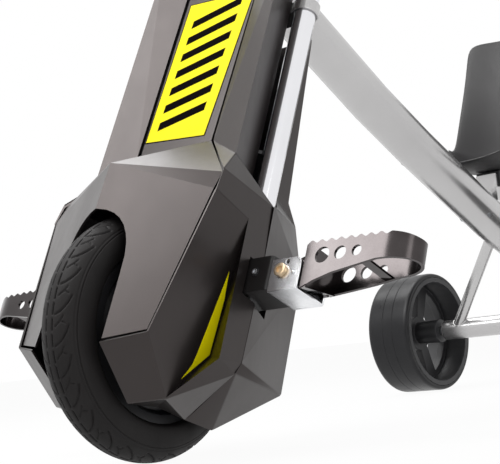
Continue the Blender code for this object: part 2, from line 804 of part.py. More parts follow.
def peg():
    """A loop of plate with a scalloped top edge, drilled sides and a tongue to its pivot."""
    x, y, z = PEG_PIVOT
    reach = 0.045

    def loop(half, tip, root):
        """Two straight sides closed by half an ellipse."""
        turns = np.radians(np.linspace(-90.0, 90.0, 9))
        bow = [(tip - reach + reach * math.cos(t), y + half * math.sin(t)) for t in turns]
        return [(root, y - half), *bow, (root, y + half)]

    inner = loop(PEG_HALF - PEG_PLATE, PEG_TIP - PEG_PLATE, PEG_ROOT + 0.008)
    ring = prism(loop(PEG_HALF, PEG_TIP, PEG_ROOT), 0.040, 0.120, "Z", [inner])
    pitch = 0.0145
    crest = []
    for k in range(17):
        along = 0.352 - 0.116 * k / 16
        dip = 0.0018 * (1.0 - math.cos(2.0 * math.pi * (0.352 - along) / pitch))
        crest.append((along, 0.1075 + 0.030 * (0.352 - along) - dip))
    under = [(PEG_ROOT - 0.001, 0.052), (0.237, 0.046), (0.259, 0.062), (0.296, 0.066), (0.323, 0.072)]
    under += [(0.385, 0.074), (0.385, 0.099), (0.366, 0.106)]
    side_view = prism(under + crest + [(PEG_ROOT - 0.001, 0.109)], y - 0.035, y + 0.035, "Y")
    body = combined(ring, side_view, "INTERSECT")
    for along, radius in ((0.253, 0.0090), (0.282, 0.0073), (0.307, 0.0060)):
        body = less(body, prism(circle((along, 0.088), radius, 12), y - 0.035, y + 0.035, "Y"))
    tongue = arc((x, z), 0.0140, 90.0, 270.0, 6)
    tongue += [(0.210, 0.063), (0.216, 0.060), (0.236, 0.060), (0.236, 0.094), (0.222, 0.094), (0.214, 0.091)]
    hole = circle((x, z), PIN_RADIUS + GAP, 14)
    root = prism(tongue, y - TONGUE_HALF, y + TONGUE_HALF, "Y", [hole])
    rod = prism(circle((0.315, 0.0745), 0.003, 8), y - PEG_HALF + 0.002, y + PEG_HALF - 0.002, "Y")
    return joined(body, root, rod)


def bar_corner(side):
    return Vector((side * 0.190, FORK_OFFSET + 0.025, BAR_HEIGHT + 0.110))


def bar_end(side):
    return Vector((side * BAR_REACH, FORK_OFFSET + 0.120, BAR_HEIGHT + 0.112))


def handlebar():
    corners = [bar_end(-1), bar_corner(-1), (-0.085, FORK_OFFSET, BAR_HEIGHT)]
    corners += [(0.085, FORK_OFFSET, BAR_HEIGHT), bar_corner(1), bar_end(1)]
    return sweep(rounded_path(corners, 0.045), BAR_RADIUS, BAR_SIDES)


def bar_clamp():
    height = BAR_HEIGHT - BAR_CLAMP_LOW
    outline = [(FORK_OFFSET - 0.020, BAR_CLAMP_LOW), (FORK_OFFSET + 0.020, BAR_CLAMP_LOW)]
    outline += arc((FORK_OFFSET, BAR_CLAMP_LOW + height), 0.019, 0.0, 180.0, 8)
    hole = circle((FORK_OFFSET, BAR_HEIGHT), (BAR_RADIUS + GAP) / math.cos(math.pi / BAR_SIDES), BAR_SIDES)
    return prism(outline, CLAMP_INNER, CLAMP_OUTER, "X", [hole])


def on_bar(side):
    """A frame on the outer stretch of the bar, one reach in from its end: X runs outwards and Z is up."""
    along = (bar_end(side) - bar_corner(side)).normalized()
    back = Vector((0.0, 0.0, 1.0)).cross(along).normalized() * side
    up = along.cross(back)
    if up.z < 0.0:
        back = -back
        up = along.cross(back)
    rows = Matrix((along, back, up)).transposed().to_4x4()
    return Matrix.Translation(bar_end(side) - along * CONTROL_REACH) @ rows


def sleeve(start, end, radius, side, flange=0.0, closed=False):
    """A soft or moulded tube on the bar, with an inner flange and an outer end that may be closed."""
    bore = BAR_RADIUS + GAP
    profile = [(start, bore), (start, radius + flange)]
    if flange:
        profile += [(start + 0.004, radius + flange), (start + 0.006, radius)]
    profile += [(end - 0.002, radius), (end, radius - 0.002)]
    if closed:
        profile += [(end, 0.0), (CONTROL_REACH + GAP, 0.0), (CONTROL_REACH + GAP, bore)]
    else:
        profile += [(end, bore)]
    return placed(turned(profile, 16, "X"), on_bar(side))


def brake_perch():
    """The lever's clamp: a ring on the bar, a lug below the lever and the pin that it turns on."""
    s, out = LEVER_PIVOT
    ring = placed(sleeve(CONTROL_START, CONTROL_END, 0.0175, 1), on_bar(1).inverted())
    lug = [(s - 0.008, -0.012)]
    lug += arc((s, -out), 0.008, 180.0, 360.0, 6)
    lug += [(s + 0.008, -0.012)]
    plate = prism(lug, -0.0095, -0.0035)
    pin = prism(circle((s, -out), 0.003, 10), -0.0050, 0.0040)
    return placed(joined(ring, plate, pin), on_bar(1))


def brake_lever():
    s, out = LEVER_PIVOT
    blade = arc((s, -out), 0.0075, 70.0, 230.0, 5)
    blade += [(s + 0.012, -0.052), (s + 0.030, -0.064), (s + 0.110, -0.067)]
    blade += arc((s + 0.117, -0.060), 0.007, -90.0, 90.0, 5)
    blade += [(s + 0.040, -0.053), (s + 0.022, -0.042)]
    hole = circle((s, -out), 0.003 + GAP, 10)
    return placed(prism(blade, -0.003, 0.003, "Z", [hole]), on_bar(1))


def throttle_housing():
    ring = placed(sleeve(CONTROL_START, CONTROL_END, 0.0185, -1), on_bar(-1).inverted())
    outline = round_box((CONTROL_START + 0.002, -0.030), (CONTROL_END - 0.002, -0.013), 0.004)
    pod = prism(outline, -0.010, 0.010)
    return placed(joined(ring, pod), on_bar(-1))


def main_frame():
    """Head tube, backbone, rear axle tube and seat rail, welded into one piece."""
    head = prism(circle((0.0, 0.0), HEAD_RADIUS, 20), HEAD_LOW, HEAD_LOW + HEAD_LENGTH)
    at_axis = FORK_TO_MACHINE @ Matrix.Translation((0.0, FORK_OFFSET, 0.0))
    bore = prism(circle((0.0, 0.0), HEAD_BORE, 20), HEAD_LOW - 0.01, HEAD_LOW + HEAD_LENGTH + 0.01)
    backbone = sweep([(0.0, y, z) for y, z in BACKBONE], BACKBONE_RADIUS, 18)
    frame = less(joined(placed(head, at_axis), backbone), placed(bore, at_axis))
    hub = (WHEELBASE, REAR_RADIUS)
    plate = [(1.045, 0.262), (1.098, 0.240)]
    plate += [(WHEELBASE + 0.017, REAR_RADIUS), (WHEELBASE - 0.017, REAR_RADIUS)]
    plates = [prism(plate, x - 0.003, x + 0.003, "X") for x in (-0.025, 0.025)]
    carrier = prism(circle(hub, CARRIER_RADIUS, 24), -CARRIER_HALF, CARRIER_HALF, "X")
    struts = []
    for side in (-1, 1):
        foot = (side * 0.185, WHEELBASE - 0.008, REAR_RADIUS + 0.010)
        struts.append(sweep([(side * 0.015, 0.950, 0.290), foot], 0.011, 10))
    rail = box((-RAIL_HALF, RAIL_FRONT, RAIL_TOP - RAIL_THICK), (RAIL_HALF, RAIL_BACK, RAIL_TOP))
    post = box((-RAIL_HALF + 0.002, 1.050, 0.240), (RAIL_HALF - 0.002, 1.090, RAIL_TOP - 0.005))
    frame = joined(frame, *plates, carrier, *struts, rail, post)
    axle = prism(circle(hub, REAR_AXLE_RADIUS + GAP, 16), -CARRIER_HALF - 0.01, CARRIER_HALF + 0.01, "X")
    return less(frame, axle)


def rear_wheel():
    """A cast wheel: rim, five windows in its web and a hub."""
    centre = (WHEELBASE, REAR_RADIUS)
    rim_outer = REAR_RADIUS - 0.008 - GAP
    inner = REAR_WHEEL_X - REAR_WHEEL_HALF
    outer = REAR_WHEEL_X + REAR_WHEEL_HALF
    at_hub = Matrix.Translation((0.0, *centre))
    rim = turned(
        [(inner, rim_outer - 0.010), (outer, rim_outer - 0.010), (outer, rim_outer), (inner, rim_outer)],
        REAR_STEPS,
        "X",
        -math.pi / 2.0,
    )
    bore = REAR_AXLE_RADIUS + GAP
    ends = (inner - 0.006, outer - 0.004)
    hub = turned([(ends[0], bore), (ends[1], bore), (ends[1], 0.020), (ends[0], 0.024)], 16)
    windows = []
    for k in range(5):
        middle = 72.0 * k + 36.0
        window = arc((0.0, 0.0), 0.092, middle - 26.0, middle + 26.0, 4)
        window += arc((0.0, 0.0), 0.036, middle + 16.0, middle - 16.0, 2)
        windows.append(window)
    web = prism(
        circle((0.0, 0.0), rim_outer - 0.008, REAR_STEPS, -90.0),
        REAR_WHEEL_X,
        REAR_WHEEL_X + 0.016,
        "X",
        [circle((0.0, 0.0), 0.015, 16), *windows],
    )
    return placed(joined(rim, web, hub), at_hub)


def rear_sleeve():
    """A hard slick sleeve that lets the rear slide."""
    half = REAR_WHEEL_HALF - 0.001
    bore = REAR_RADIUS - 0.008
    profile = [
        (-half, bore),
        (half, bore),
        (half, REAR_RADIUS - 0.004),
        (half - 0.009, REAR_RADIUS),
        (-half + 0.009, REAR_RADIUS),
        (-half, REAR_RADIUS - 0.004),
    ]
    ring = turned(profile, REAR_STEPS, "X", -math.pi / 2.0)
    return placed(ring, Matrix.Translation((REAR_WHEEL_X, WHEELBASE, REAR_RADIUS)))


def rear_axle_nut():
    face = REAR_WHEEL_X + REAR_WHEEL_HALF - 0.004 + GAP
    centre = (WHEELBASE, REAR_RADIUS)
    hole = circle(centre, REAR_AXLE_RADIUS + GAP, 16)
    return prism(circle(centre, 0.0135, 6), face, face + 0.009, "X", [hole])


def seat_carriage():
    """A channel that rides on the rail."""
    inner = RAIL_HALF + GAP
    outer = inner + 0.004
    top = RAIL_TOP + GAP
    outline = [
        (-outer, top - 0.025),
        (-inner, top - 0.025),
        (-inner, top),
        (inner, top),
        (inner, top - 0.025),
        (outer, top - 0.025),
        (outer, CARRIAGE_TOP),
        (-outer, CARRIAGE_TOP),
    ]
    return prism(outline, CARRIAGE_FRONT, CARRIAGE_FRONT + CARRIAGE_LENGTH, "Y")


def seat_clamp_lever():
    x, y, z = CLAMP_PIVOT
    outline = arc((y, z), 0.009, -80.0, 80.0, 6)
    outline += arc((y - 0.040, z), 0.005, 90.0, 270.0, 4)
    return prism(outline, x, x + 0.006, "X")


def seat_profile():
    """The seat's middle line from its front lip over the pan to the top of the back, as (y, z)."""
    low = CARRIAGE_TOP + GAP
    bend = 0.080
    lean = math.radians(78.0)
    turn_y = CARRIAGE_FRONT + CARRIAGE_LENGTH - 0.010
    line = [(0.835, low + 0.012), (0.865, low + 0.003), (0.900, low), (1.000, low), (turn_y, low)]
    for t in np.linspace(0.0, lean, 6)[1:]:
        line.append((turn_y + bend * math.sin(t), low + bend * (1.0 - math.cos(t))))
    y, z = line[-1]
    for length in (0.070, 0.140, 0.200, 0.240):
        line.append((y + length * math.cos(lean), z + length * math.sin(lean)))
    return line


def seat_shell():
    """A bucket with a flat middle: its wings rise beside the pan and wrap forward beside the back."""
    line = seat_profile()
    columns = 6
    points = {}
    for r, (y, z) in enumerate(line):
        share = r / (len(line) - 1)
        before = Vector(line[max(r - 1, 0)])
        after = Vector(line[min(r + 1, len(line) - 1)])
        along = (after - before).normalized()
        inward = Vector((-along.y, along.x))
        width = SEAT_HALF * (0.86 + 0.14 * math.sin(math.pi * share))
        rise = 0.022 + 0.055 * math.sin(math.pi * min(share * 1.15, 1.0))
        for c in range(columns + 1):
            across = 2.0 * c / columns - 1.0
            lift = rise * max(1.5 * abs(across) - 0.5, 0.0) ** 1.6
            points[f"p{r}_{c}"] = (width * across, y + inward.x * lift, z + inward.y * lift)
    faces = []
    for r in range(len(line) - 1):
        for c in range(columns):
            faces.append([f"p{r}_{c}", f"p{r}_{c + 1}", f"p{r + 1}_{c + 1}", f"p{r + 1}_{c}"])
    return thick_sheet(points, faces, SEAT_WALL, Vector((0.0, 1.0, 0.0)))


def thick_sheet(points, faces, wall, below):
    """A smooth sheet given a wall towards its upper side, away from the point below."""
    shape = bmesh.new()
    verts = {name: shape.verts.new(place) for name, place in points.items()}
    skin = [shape.faces.new([verts[n] for n in names]) for names in faces]
    bmesh.ops.recalc_face_normals(shape, faces=skin)
    if skin[0].normal.dot(skin[0].calc_center_median() - below) > 0.0:
        bmesh.ops.reverse_faces(shape, faces=skin)
    shape.normal_update()
    rim = [e for e in shape.edges if len(e.link_faces) == 1]
    inner = {v: shape.verts.new(v.co - v.normal * wall) for v in shape.verts[:]}
    for face in skin:
        shape.faces.new([inner[v] for v in reversed(face.verts)])
    for edge in rim:
        a, b = edge.verts
        shape.faces.new((a, b, inner[b], inner[a]))
    bmesh.ops.recalc_face_normals(shape, faces=shape.faces)
    return shape


def empty(name, parent, matrix):
    frame = bpy.data.objects.new(name, None)
    frame.empty_display_size = 0.05
    bpy.context.scene.collection.objects.link(frame)
    frame.parent = parent
    frame.matrix_local = matrix
    return frame


def build_cover(fork, looks):
    solid("front_panel", front_panel(), looks["cover"], fork)
    pair("side_cover", side_cover, looks["cover"], fork)
    solid("rear_cover", rear_cover(), looks["cover"], fork)
    solid("console_cap", console_cap(), looks["plastic"], fork)
    solid("battery_tray", battery_tray(), looks["black_steel"], fork)
    low = TRAY_LOW + TRAY_THICK + GAP
    solid("battery_pack", case(BATTERY, 0.011, low, 0.006), looks["battery"], fork)
    solid("motor_controller", motor_controller(), looks["aluminium"], fork)
    solid("switch_bezel", switch_bezel(), looks["plastic"], fork)
    rocker, pivot = power_switch()
    solid("power_switch", rocker, looks["rubber"], fork, pivot)
    solid("charge_port", charge_port(), looks["plastic"], fork)
    flap, pivot = charge_port_cap()
    solid("charge_port_cap", flap, looks["rubber"], fork, pivot)


def build_front_wheel(fork, looks):
    solid("front_tyre", tyre(), looks["tyre"], fork)
    solid("hub_motor", hub_motor(), looks["black_steel"], fork)
    solid("brake_disc", brake_disc(), looks["steel"], fork)
    reach = LEG_X - 0.003
    solid("hub_axle", prism(circle((0.0, 0.0), AXLE_RADIUS, 16), -reach, reach, "X"), looks["steel"], fork)
    pair("axle_nut", axle_nut, looks["zinc"], fork)
    solid("brake_caliper", brake_caliper(), looks["black_steel"], fork)
    arm, pivot = brake_arm()
    solid("brake_arm", arm, looks["zinc"], fork, pivot)


def build_fork(fork, looks):
    pair("fork_leg", fork_leg, looks["silver"], fork)
    top = LOWER_CROWN + CROWN_THICK
    solid("lower_crown", crown(LOWER_CROWN, top), looks["silver"], fork)
    solid("upper_crown", crown(UPPER_CROWN, UPPER_CROWN + UPPER_CROWN_THICK), looks["silver"], fork)
    nut_low = UPPER_CROWN + UPPER_CROWN_THICK + GAP
    steerer = prism(circle((0.0, FORK_OFFSET), STEERER_RADIUS, 16), LOWER_CROWN, nut_low + 0.019)
    solid("steerer_tube", steerer, looks["steel"], fork)
    hole = circle((0.0, FORK_OFFSET), STEERER_RADIUS + GAP, 16)
    nut = prism(circle((0.0, FORK_OFFSET), 0.0195, 6, 30.0), nut_low, nut_low + 0.015, "Z", [hole])
    solid("steerer_nut", nut, looks["zinc"], fork)


def build_controls(fork, looks):
    solid("handlebar", handlebar(), looks["black_steel"], fork)
    pair("bar_clamp", bar_clamp, looks["black_steel"], fork)
    end = CONTROL_REACH + 0.004
    left = sleeve(CONTROL_END + 0.006, end, GRIP_RADIUS, 1, 0.004, True)
    solid("grip_left", left, looks["rubber"], fork)
    right = sleeve(THROTTLE_END + GAP, end, GRIP_RADIUS, -1, 0.0, True)
    solid("grip_right", right, looks["rubber"], fork)
    twist = sleeve(CONTROL_END + GAP, THROTTLE_END, GRIP_RADIUS, -1, 0.003)
    pivot = on_bar(-1) @ Vector((CONTROL_END, 0.0, 0.0))
    solid("throttle_sleeve", twist, looks["rubber"], fork, pivot)
    solid("throttle_housing", throttle_housing(), looks["plastic"], fork)
    solid("brake_perch", brake_perch(), looks["black_steel"], fork)
    pivot = on_bar(1) @ Vector((LEVER_PIVOT[0], -LEVER_PIVOT[1], 0.0))
    solid("brake_lever", brake_lever(), looks["aluminium"], fork, pivot)


def build_pegs(fork, looks):
    pair("peg_block", peg_block, looks["block"], fork)
    pair("peg_bracket", peg_bracket, looks["zinc"], fork)
    pair("peg_pivot", peg_pivot, looks["brass"], fork)
    pair("peg", peg, looks["peg"], fork, PEG_PIVOT)


def build_frame(machine, looks):
    solid("main_frame", main_frame(), looks["silver"], machine)
    axis = FORK_TO_MACHINE
    bore = STEERER_RADIUS + GAP
    low = LOWER_CROWN + CROWN_THICK + GAP
    lower = ring_at(low, low + HEADSET_LOW, HEADSET_RADIUS, bore)
    solid("headset_lower", placed(lower, axis), looks["plastic"], machine)
    high = HEAD_LOW + HEAD_LENGTH + GAP
    upper = ring_at(high, high + HEADSET_HIGH, HEADSET_RADIUS, bore)
    solid("headset_upper", placed(upper, axis), looks["plastic"], machine)
    hub = (WHEELBASE, REAR_RADIUS)
    reach = REAR_WHEEL_X + REAR_WHEEL_HALF + 0.010
    solid("rear_axle", prism(circle(hub, REAR_AXLE_RADIUS, 16), -reach, reach, "X"), looks["steel"], machine)
    pair("rear_axle_nut", rear_axle_nut, looks["zinc"], machine)
    centre = (REAR_WHEEL_X, *hub)
    pair("rear_wheel", rear_wheel, looks["wheel"], machine, centre)
    pair("rear_sleeve", rear_sleeve, looks["sleeve"], machine, centre)
    solid("seat_carriage", seat_carriage(), looks["black_steel"], machine, (0.0, CARRIAGE_FRONT, RAIL_TOP))
    solid("seat_shell", seat_shell(), looks["plastic"], machine, (0.0, CARRIAGE_FRONT, CARRIAGE_TOP))
    solid("seat_clamp_lever", seat_clamp_lever(), looks["zinc"], machine, CLAMP_PIVOT)


def all_looks():
    return {
        "cover": material("satin_cover", (58, 54, 54), 0.38),
        "plastic": material("black_plastic", (38, 37, 38), 0.50),
        "tyre": material("tyre_rubber", (36, 33, 34), 0.75),
        "rubber": material("black_rubber", (30, 29, 30), 0.70),
        "silver": material("silver_paint", (205, 204, 200), 0.28, 0.85),
        "steel": material("bright_steel", (190, 192, 195), 0.30, 1.0),
        "black_steel": material("black_steel", (34, 34, 36), 0.45, 0.3),
        "aluminium": material("aluminium", (168, 170, 172), 0.40, 1.0),
        "zinc": material("zinc_plate", (218, 219, 222), 0.32, 1.0),
        "brass": material("brass_bolt", (205, 186, 160), 0.30, 1.0),
        "block": material("clamp_block", (50, 47, 45), 0.50, 0.2),
        "peg": material("peg_plate", (120, 116, 116), 0.36, 0.9),
        "battery": material("battery_case", (48, 52, 60), 0.55),
        "wheel": material("cast_wheel", (44, 44, 46), 0.50),
        "sleeve": material("slick_sleeve", (28, 28, 30), 0.35),
    }


def main():
    for old in list(bpy.data.objects):
        bpy.data.objects.remove(old, do_unlink=True)
    looks = all_looks()
    machine = empty("machine_frame", None, Matrix.Translation((0.0, FRONT_AXLE_Y, 0.0)))
    axis = FORK_TO_MACHINE @ Matrix.Translation((0.0, FORK_OFFSET, 0.0))
    steering = empty("steering_axis", machine, axis)
    fork = empty("fork_frame", steering, Matrix.Translation((0.0, -FORK_OFFSET, 0.0)))
    build_frame(machine, looks)
    build_fork(fork, looks)
    build_front_wheel(fork, looks)
    build_cover(fork, looks)
    build_controls(fork, looks)
    build_pegs(fork, looks)


main()
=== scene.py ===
# %% [markdown]
# # Dressing an electric drift tricycle
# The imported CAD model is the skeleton: it already has every piece at its real size and place. This
# lesson gives those pieces their finish, rounds the edges that a moulding or a pressed plate has,
# and adds what is too fine for the solids, such as the tyre's tread and the screws.

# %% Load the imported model
import json
import math

import bmesh
import bpy
import numpy as np
from mathutils import Matrix, Vector

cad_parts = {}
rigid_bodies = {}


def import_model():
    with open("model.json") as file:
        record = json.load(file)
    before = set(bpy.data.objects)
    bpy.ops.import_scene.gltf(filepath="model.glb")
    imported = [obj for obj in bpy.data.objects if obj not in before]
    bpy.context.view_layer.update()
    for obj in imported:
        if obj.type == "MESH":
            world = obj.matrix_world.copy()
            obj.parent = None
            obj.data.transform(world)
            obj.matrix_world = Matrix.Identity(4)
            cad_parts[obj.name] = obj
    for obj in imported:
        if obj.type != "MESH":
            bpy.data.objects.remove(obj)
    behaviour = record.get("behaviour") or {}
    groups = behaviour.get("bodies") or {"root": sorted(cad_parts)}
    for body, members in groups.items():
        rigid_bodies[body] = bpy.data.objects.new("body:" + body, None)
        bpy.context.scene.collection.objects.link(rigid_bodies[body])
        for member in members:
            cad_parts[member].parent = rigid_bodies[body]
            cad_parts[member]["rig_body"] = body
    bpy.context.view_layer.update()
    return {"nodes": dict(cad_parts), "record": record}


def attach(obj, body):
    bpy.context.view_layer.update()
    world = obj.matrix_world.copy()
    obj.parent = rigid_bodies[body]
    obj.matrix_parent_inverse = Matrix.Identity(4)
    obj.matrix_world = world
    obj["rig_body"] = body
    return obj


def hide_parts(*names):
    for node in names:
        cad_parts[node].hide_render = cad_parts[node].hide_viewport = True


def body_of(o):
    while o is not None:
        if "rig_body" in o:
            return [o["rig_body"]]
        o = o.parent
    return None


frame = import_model()
nodes = frame["nodes"]
print(len(nodes), "solids loaded")

# %% [markdown]
# The front end leans back with the fork, so its pieces are easiest to draw in the fork's own frame:
# the origin is the front wheel's centre, X is the rider's left and Z runs up along the fork legs.
# One matrix takes such a point to the world, and nearly every new piece is drawn through it. Pieces
# that come in pairs are drawn for one side and mirrored by its sign.

# %% The fork's frame and the wheels' places
RAKE = math.radians(27.0)
WHEELBASE = 1.0800
FRONT_RADIUS = 0.159
REAR_RADIUS = 0.1200
AXLE_Y = -0.5205
REAR_Y = AXLE_Y + WHEELBASE
FORK = Matrix.Translation((0.0, AXLE_Y, FRONT_RADIUS)) @ Matrix.Rotation(-RAKE, 4, "X")
WORLD = Matrix.Identity(4)
SIDES = ((1, "left"), (-1, "right"))
print("fork leans back by", round(math.degrees(RAKE)), "degrees")

# %% [markdown]
# The photograph was taken from low beside the front wheel with a long lens. A camera could be
# placed by eye, but this one comes from a fit to the wheel, the pegs and the fork legs, so less is
# guessed: a lens in millimetres on a 36 mm sensor, a place, the direction it looks in and the
# direction of the picture's right. The third direction follows from those two.

# %% Camera at the photograph's viewpoint
LENS_MM = 89.61
SENSOR_MM = 36.0
CAMERA_PLACE = (1.14159, -1.64727, 0.13468)
CAMERA_AHEAD = (-0.641159, 0.762154, 0.089650)
CAMERA_RIGHT = (0.754258, 0.647391, -0.109450)

lens = bpy.data.cameras.new("photo_camera")
lens.lens = LENS_MM
lens.sensor_width = SENSOR_MM
lens.sensor_fit = "HORIZONTAL"
lens.clip_start = 0.05
camera = bpy.data.objects.new("photo_camera", lens)
bpy.context.scene.collection.objects.link(camera)
ahead = Vector(CAMERA_AHEAD).normalized()
right = Vector(CAMERA_RIGHT)
right = (right - ahead * right.dot(ahead)).normalized()
camera.matrix_world = Matrix.Translation(CAMERA_PLACE) @ Matrix(
    (right, right.cross(ahead), -ahead)
).transposed().to_4x4()
bpy.context.scene.camera = camera
bpy.context.scene.view_settings.view_transform = "Standard"
print("camera looks along", tuple(round(c, 3) for c in ahead))

# %% [markdown]
# The photograph's background is plain white. One white world would give that, but its light would
# wash out the dark cover. So the rays are told apart: camera, glossy and transmitted rays see the
# surround as plain white, and the light that falls on the object comes from it at a lower strength.

# %% White surround
WHITE = (1.0, 1.0, 1.0, 1.0)
SURROUND_LIGHT = 0.42
scene = bpy.context.scene


def node(tree, kind, place, **values):
    """Adds a shader node and sets its properties and its unlinked sockets by name."""
    made = tree.nodes.new(kind)
    made.location = place
    for key, value in values.items():
        if key in made.bl_rna.properties:
            setattr(made, key, value)
        else:
            made.inputs[key.replace("_", " ")].default_value = value
    return made


def seen_share(tree):
    """1 for rays from the camera, a mirror or clear glass, 0 for rays that light the object."""
    path = node(tree, "ShaderNodeLightPath", (-200, 300))
    both = node(tree, "ShaderNodeMath", (0, 300), operation="MAXIMUM")
    every = node(tree, "ShaderNodeMath", (200, 300), operation="MAXIMUM")
    tree.links.new(path.outputs["Is Camera Ray"], both.inputs[0])
    tree.links.new(path.outputs["Is Glossy Ray"], both.inputs[1])
    tree.links.new(both.outputs[0], every.inputs[0])
    tree.links.new(path.outputs["Is Transmission Ray"], every.inputs[1])
    return every.outputs[0]


def surround():
    """A world that is plain white to the eye and a softer light on the object."""
    world = bpy.data.worlds.new("studio")
    scene.world = world
    world.use_nodes = True
    tree = world.node_tree
    tree.nodes.clear()
    output = node(tree, "ShaderNodeOutputWorld", (800, 0))
    blend = node(tree, "ShaderNodeMixShader", (600, 0))
    seen = node(tree, "ShaderNodeBackground", (400, 100), Color=WHITE, Strength=1.0)
    light = node(tree, "ShaderNodeBackground", (400, -100), Color=WHITE, Strength=SURROUND_LIGHT)
    tree.links.new(seen_share(tree), blend.inputs["Fac"])
    tree.links.new(light.outputs["Background"], blend.inputs[1])
    tree.links.new(seen.outputs["Background"], blend.inputs[2])
    tree.links.new(blend.outputs["Shader"], output.inputs["Surface"])


surround()
print("surround lights the object at", SURROUND_LIGHT)

# %% [markdown]
# The machine stands on white paper, and in the photograph there is hardly a shadow under it. A lit
# sheet alone would turn grey, and a glowing one would show no shadow at all, so this one is a blend
# of both that glows most of the way. It lies a hair under the wheels.

# %% Paper floor
PAPER_GREY = (0.80, 0.80, 0.80, 1.0)
FLOOR_GLOW = 0.95
FLOOR_HALF = 12.0
FLOOR_DROP = 0.0012


def floor():
    """A sheet of paper just under the wheels, mostly glowing white, so its shadow stays faint."""
    shape = bmesh.new()
    bmesh.ops.create_grid(shape, x_segments=1, y_segments=1, size=FLOOR_HALF)
    bmesh.ops.translate(shape, verts=shape.verts, vec=(0.0, 0.0, -FLOOR_DROP))
    mesh = bpy.data.meshes.new("studio_floor")
    shape.to_mesh(mesh)
    shape.free()
    made = bpy.data.objects.new("studio_floor", mesh)
    scene.collection.objects.link(made)
    paper = bpy.data.materials.new("studio_paper")
    paper.use_nodes = True
    tree = paper.node_tree
    tree.nodes.clear()
    output = node(tree, "ShaderNodeOutputMaterial", (800, 0))
    blend = node(tree, "ShaderNodeMixShader", (600, 0))
    matte = node(tree, "ShaderNodeBsdfDiffuse", (400, 100), Color=PAPER_GREY)
    glow = node(tree, "ShaderNodeEmission", (400, -100), Color=WHITE, Strength=1.0)
    share = node(tree, "ShaderNodeMath", (300, 300), operation="MULTIPLY")
    share.inputs[1].default_value = FLOOR_GLOW
    tree.links.new(seen_share(tree), share.inputs[0])
    tree.links.new(share.outputs[0], blend.inputs["Fac"])
    tree.links.new(matte.outputs[0], blend.inputs[1])
    tree.links.new(glow.outputs[0], blend.inputs[2])
    tree.links.new(blend.outputs[0], output.inputs["Surface"])
    mesh.materials.append(paper)


floor()
print("paper floor laid,", 2.0 * FLOOR_HALF, "m wide")

# %% [markdown]
# Four large lamps shape the covers. A faceted cover shows its form only where a facet mirrors
# something bright, so the lamps stand where the front and top facets mirror them towards the
# camera. Large lamps give broad soft shines; small ones would give hard dots.

# %% Lamps
NOSE = (0.0, -0.45, 0.30)
LAMPS = [
    # name, place, what it points at, width, height and watts
    ("lamp_above", (-0.66, -1.25, 1.92), NOSE, 1.3, 1.3, 38.0),
    ("lamp_behind", (-0.87, 0.50, 1.75), NOSE, 1.0, 1.0, 13.0),
    ("lamp_side", (2.0, -1.2, 1.0), (0.1, -0.4, 0.25), 0.7, 1.4, 7.0),
    ("lamp_far", (-2.4, 0.0, 1.1), (0.0, -0.4, 0.30), 0.8, 1.6, 2.0),
]


def softbox(name, place, target, width, height, watts):
    """A rectangular lamp at a place, turned towards its target."""
    lamp = bpy.data.lights.new(name, "AREA")
    lamp.shape = "RECTANGLE"
    lamp.size = width
    lamp.size_y = height
    lamp.energy = watts
    made = bpy.data.objects.new(name, lamp)
    scene.collection.objects.link(made)
    aim = (Vector(target) - Vector(place)).to_track_quat("-Z", "Y")
    made.matrix_world = Matrix.Translation(place) @ aim.to_matrix().to_4x4()


for lamp_row in LAMPS:
    softbox(*lamp_row)
print("studio ready with", len(LAMPS), "lamps")

# %% [markdown]
# Real finishes are never one flat value. Moulded plastic has a fine grain, metal has faint scuffs,
# rubber is a little dusty. The same nodes could be copied into every material, but a group is built
# once and shared. The first one is the grain: it gives the colour and a height for the relief.

# %% Grain
def group(name, inputs, outputs):
    """An empty shader group with its sockets, and its two end nodes."""
    made = bpy.data.node_groups.new(name, "ShaderNodeTree")
    for title, kind, value in inputs:
        socket = made.interface.new_socket(title, in_out="INPUT", socket_type=kind)
        socket.default_value = value
    for title, kind in outputs:
        made.interface.new_socket(title, in_out="OUTPUT", socket_type=kind)
    return made, node(made, "NodeGroupInput", (-800, 0)), node(made, "NodeGroupOutput", (800, 0))


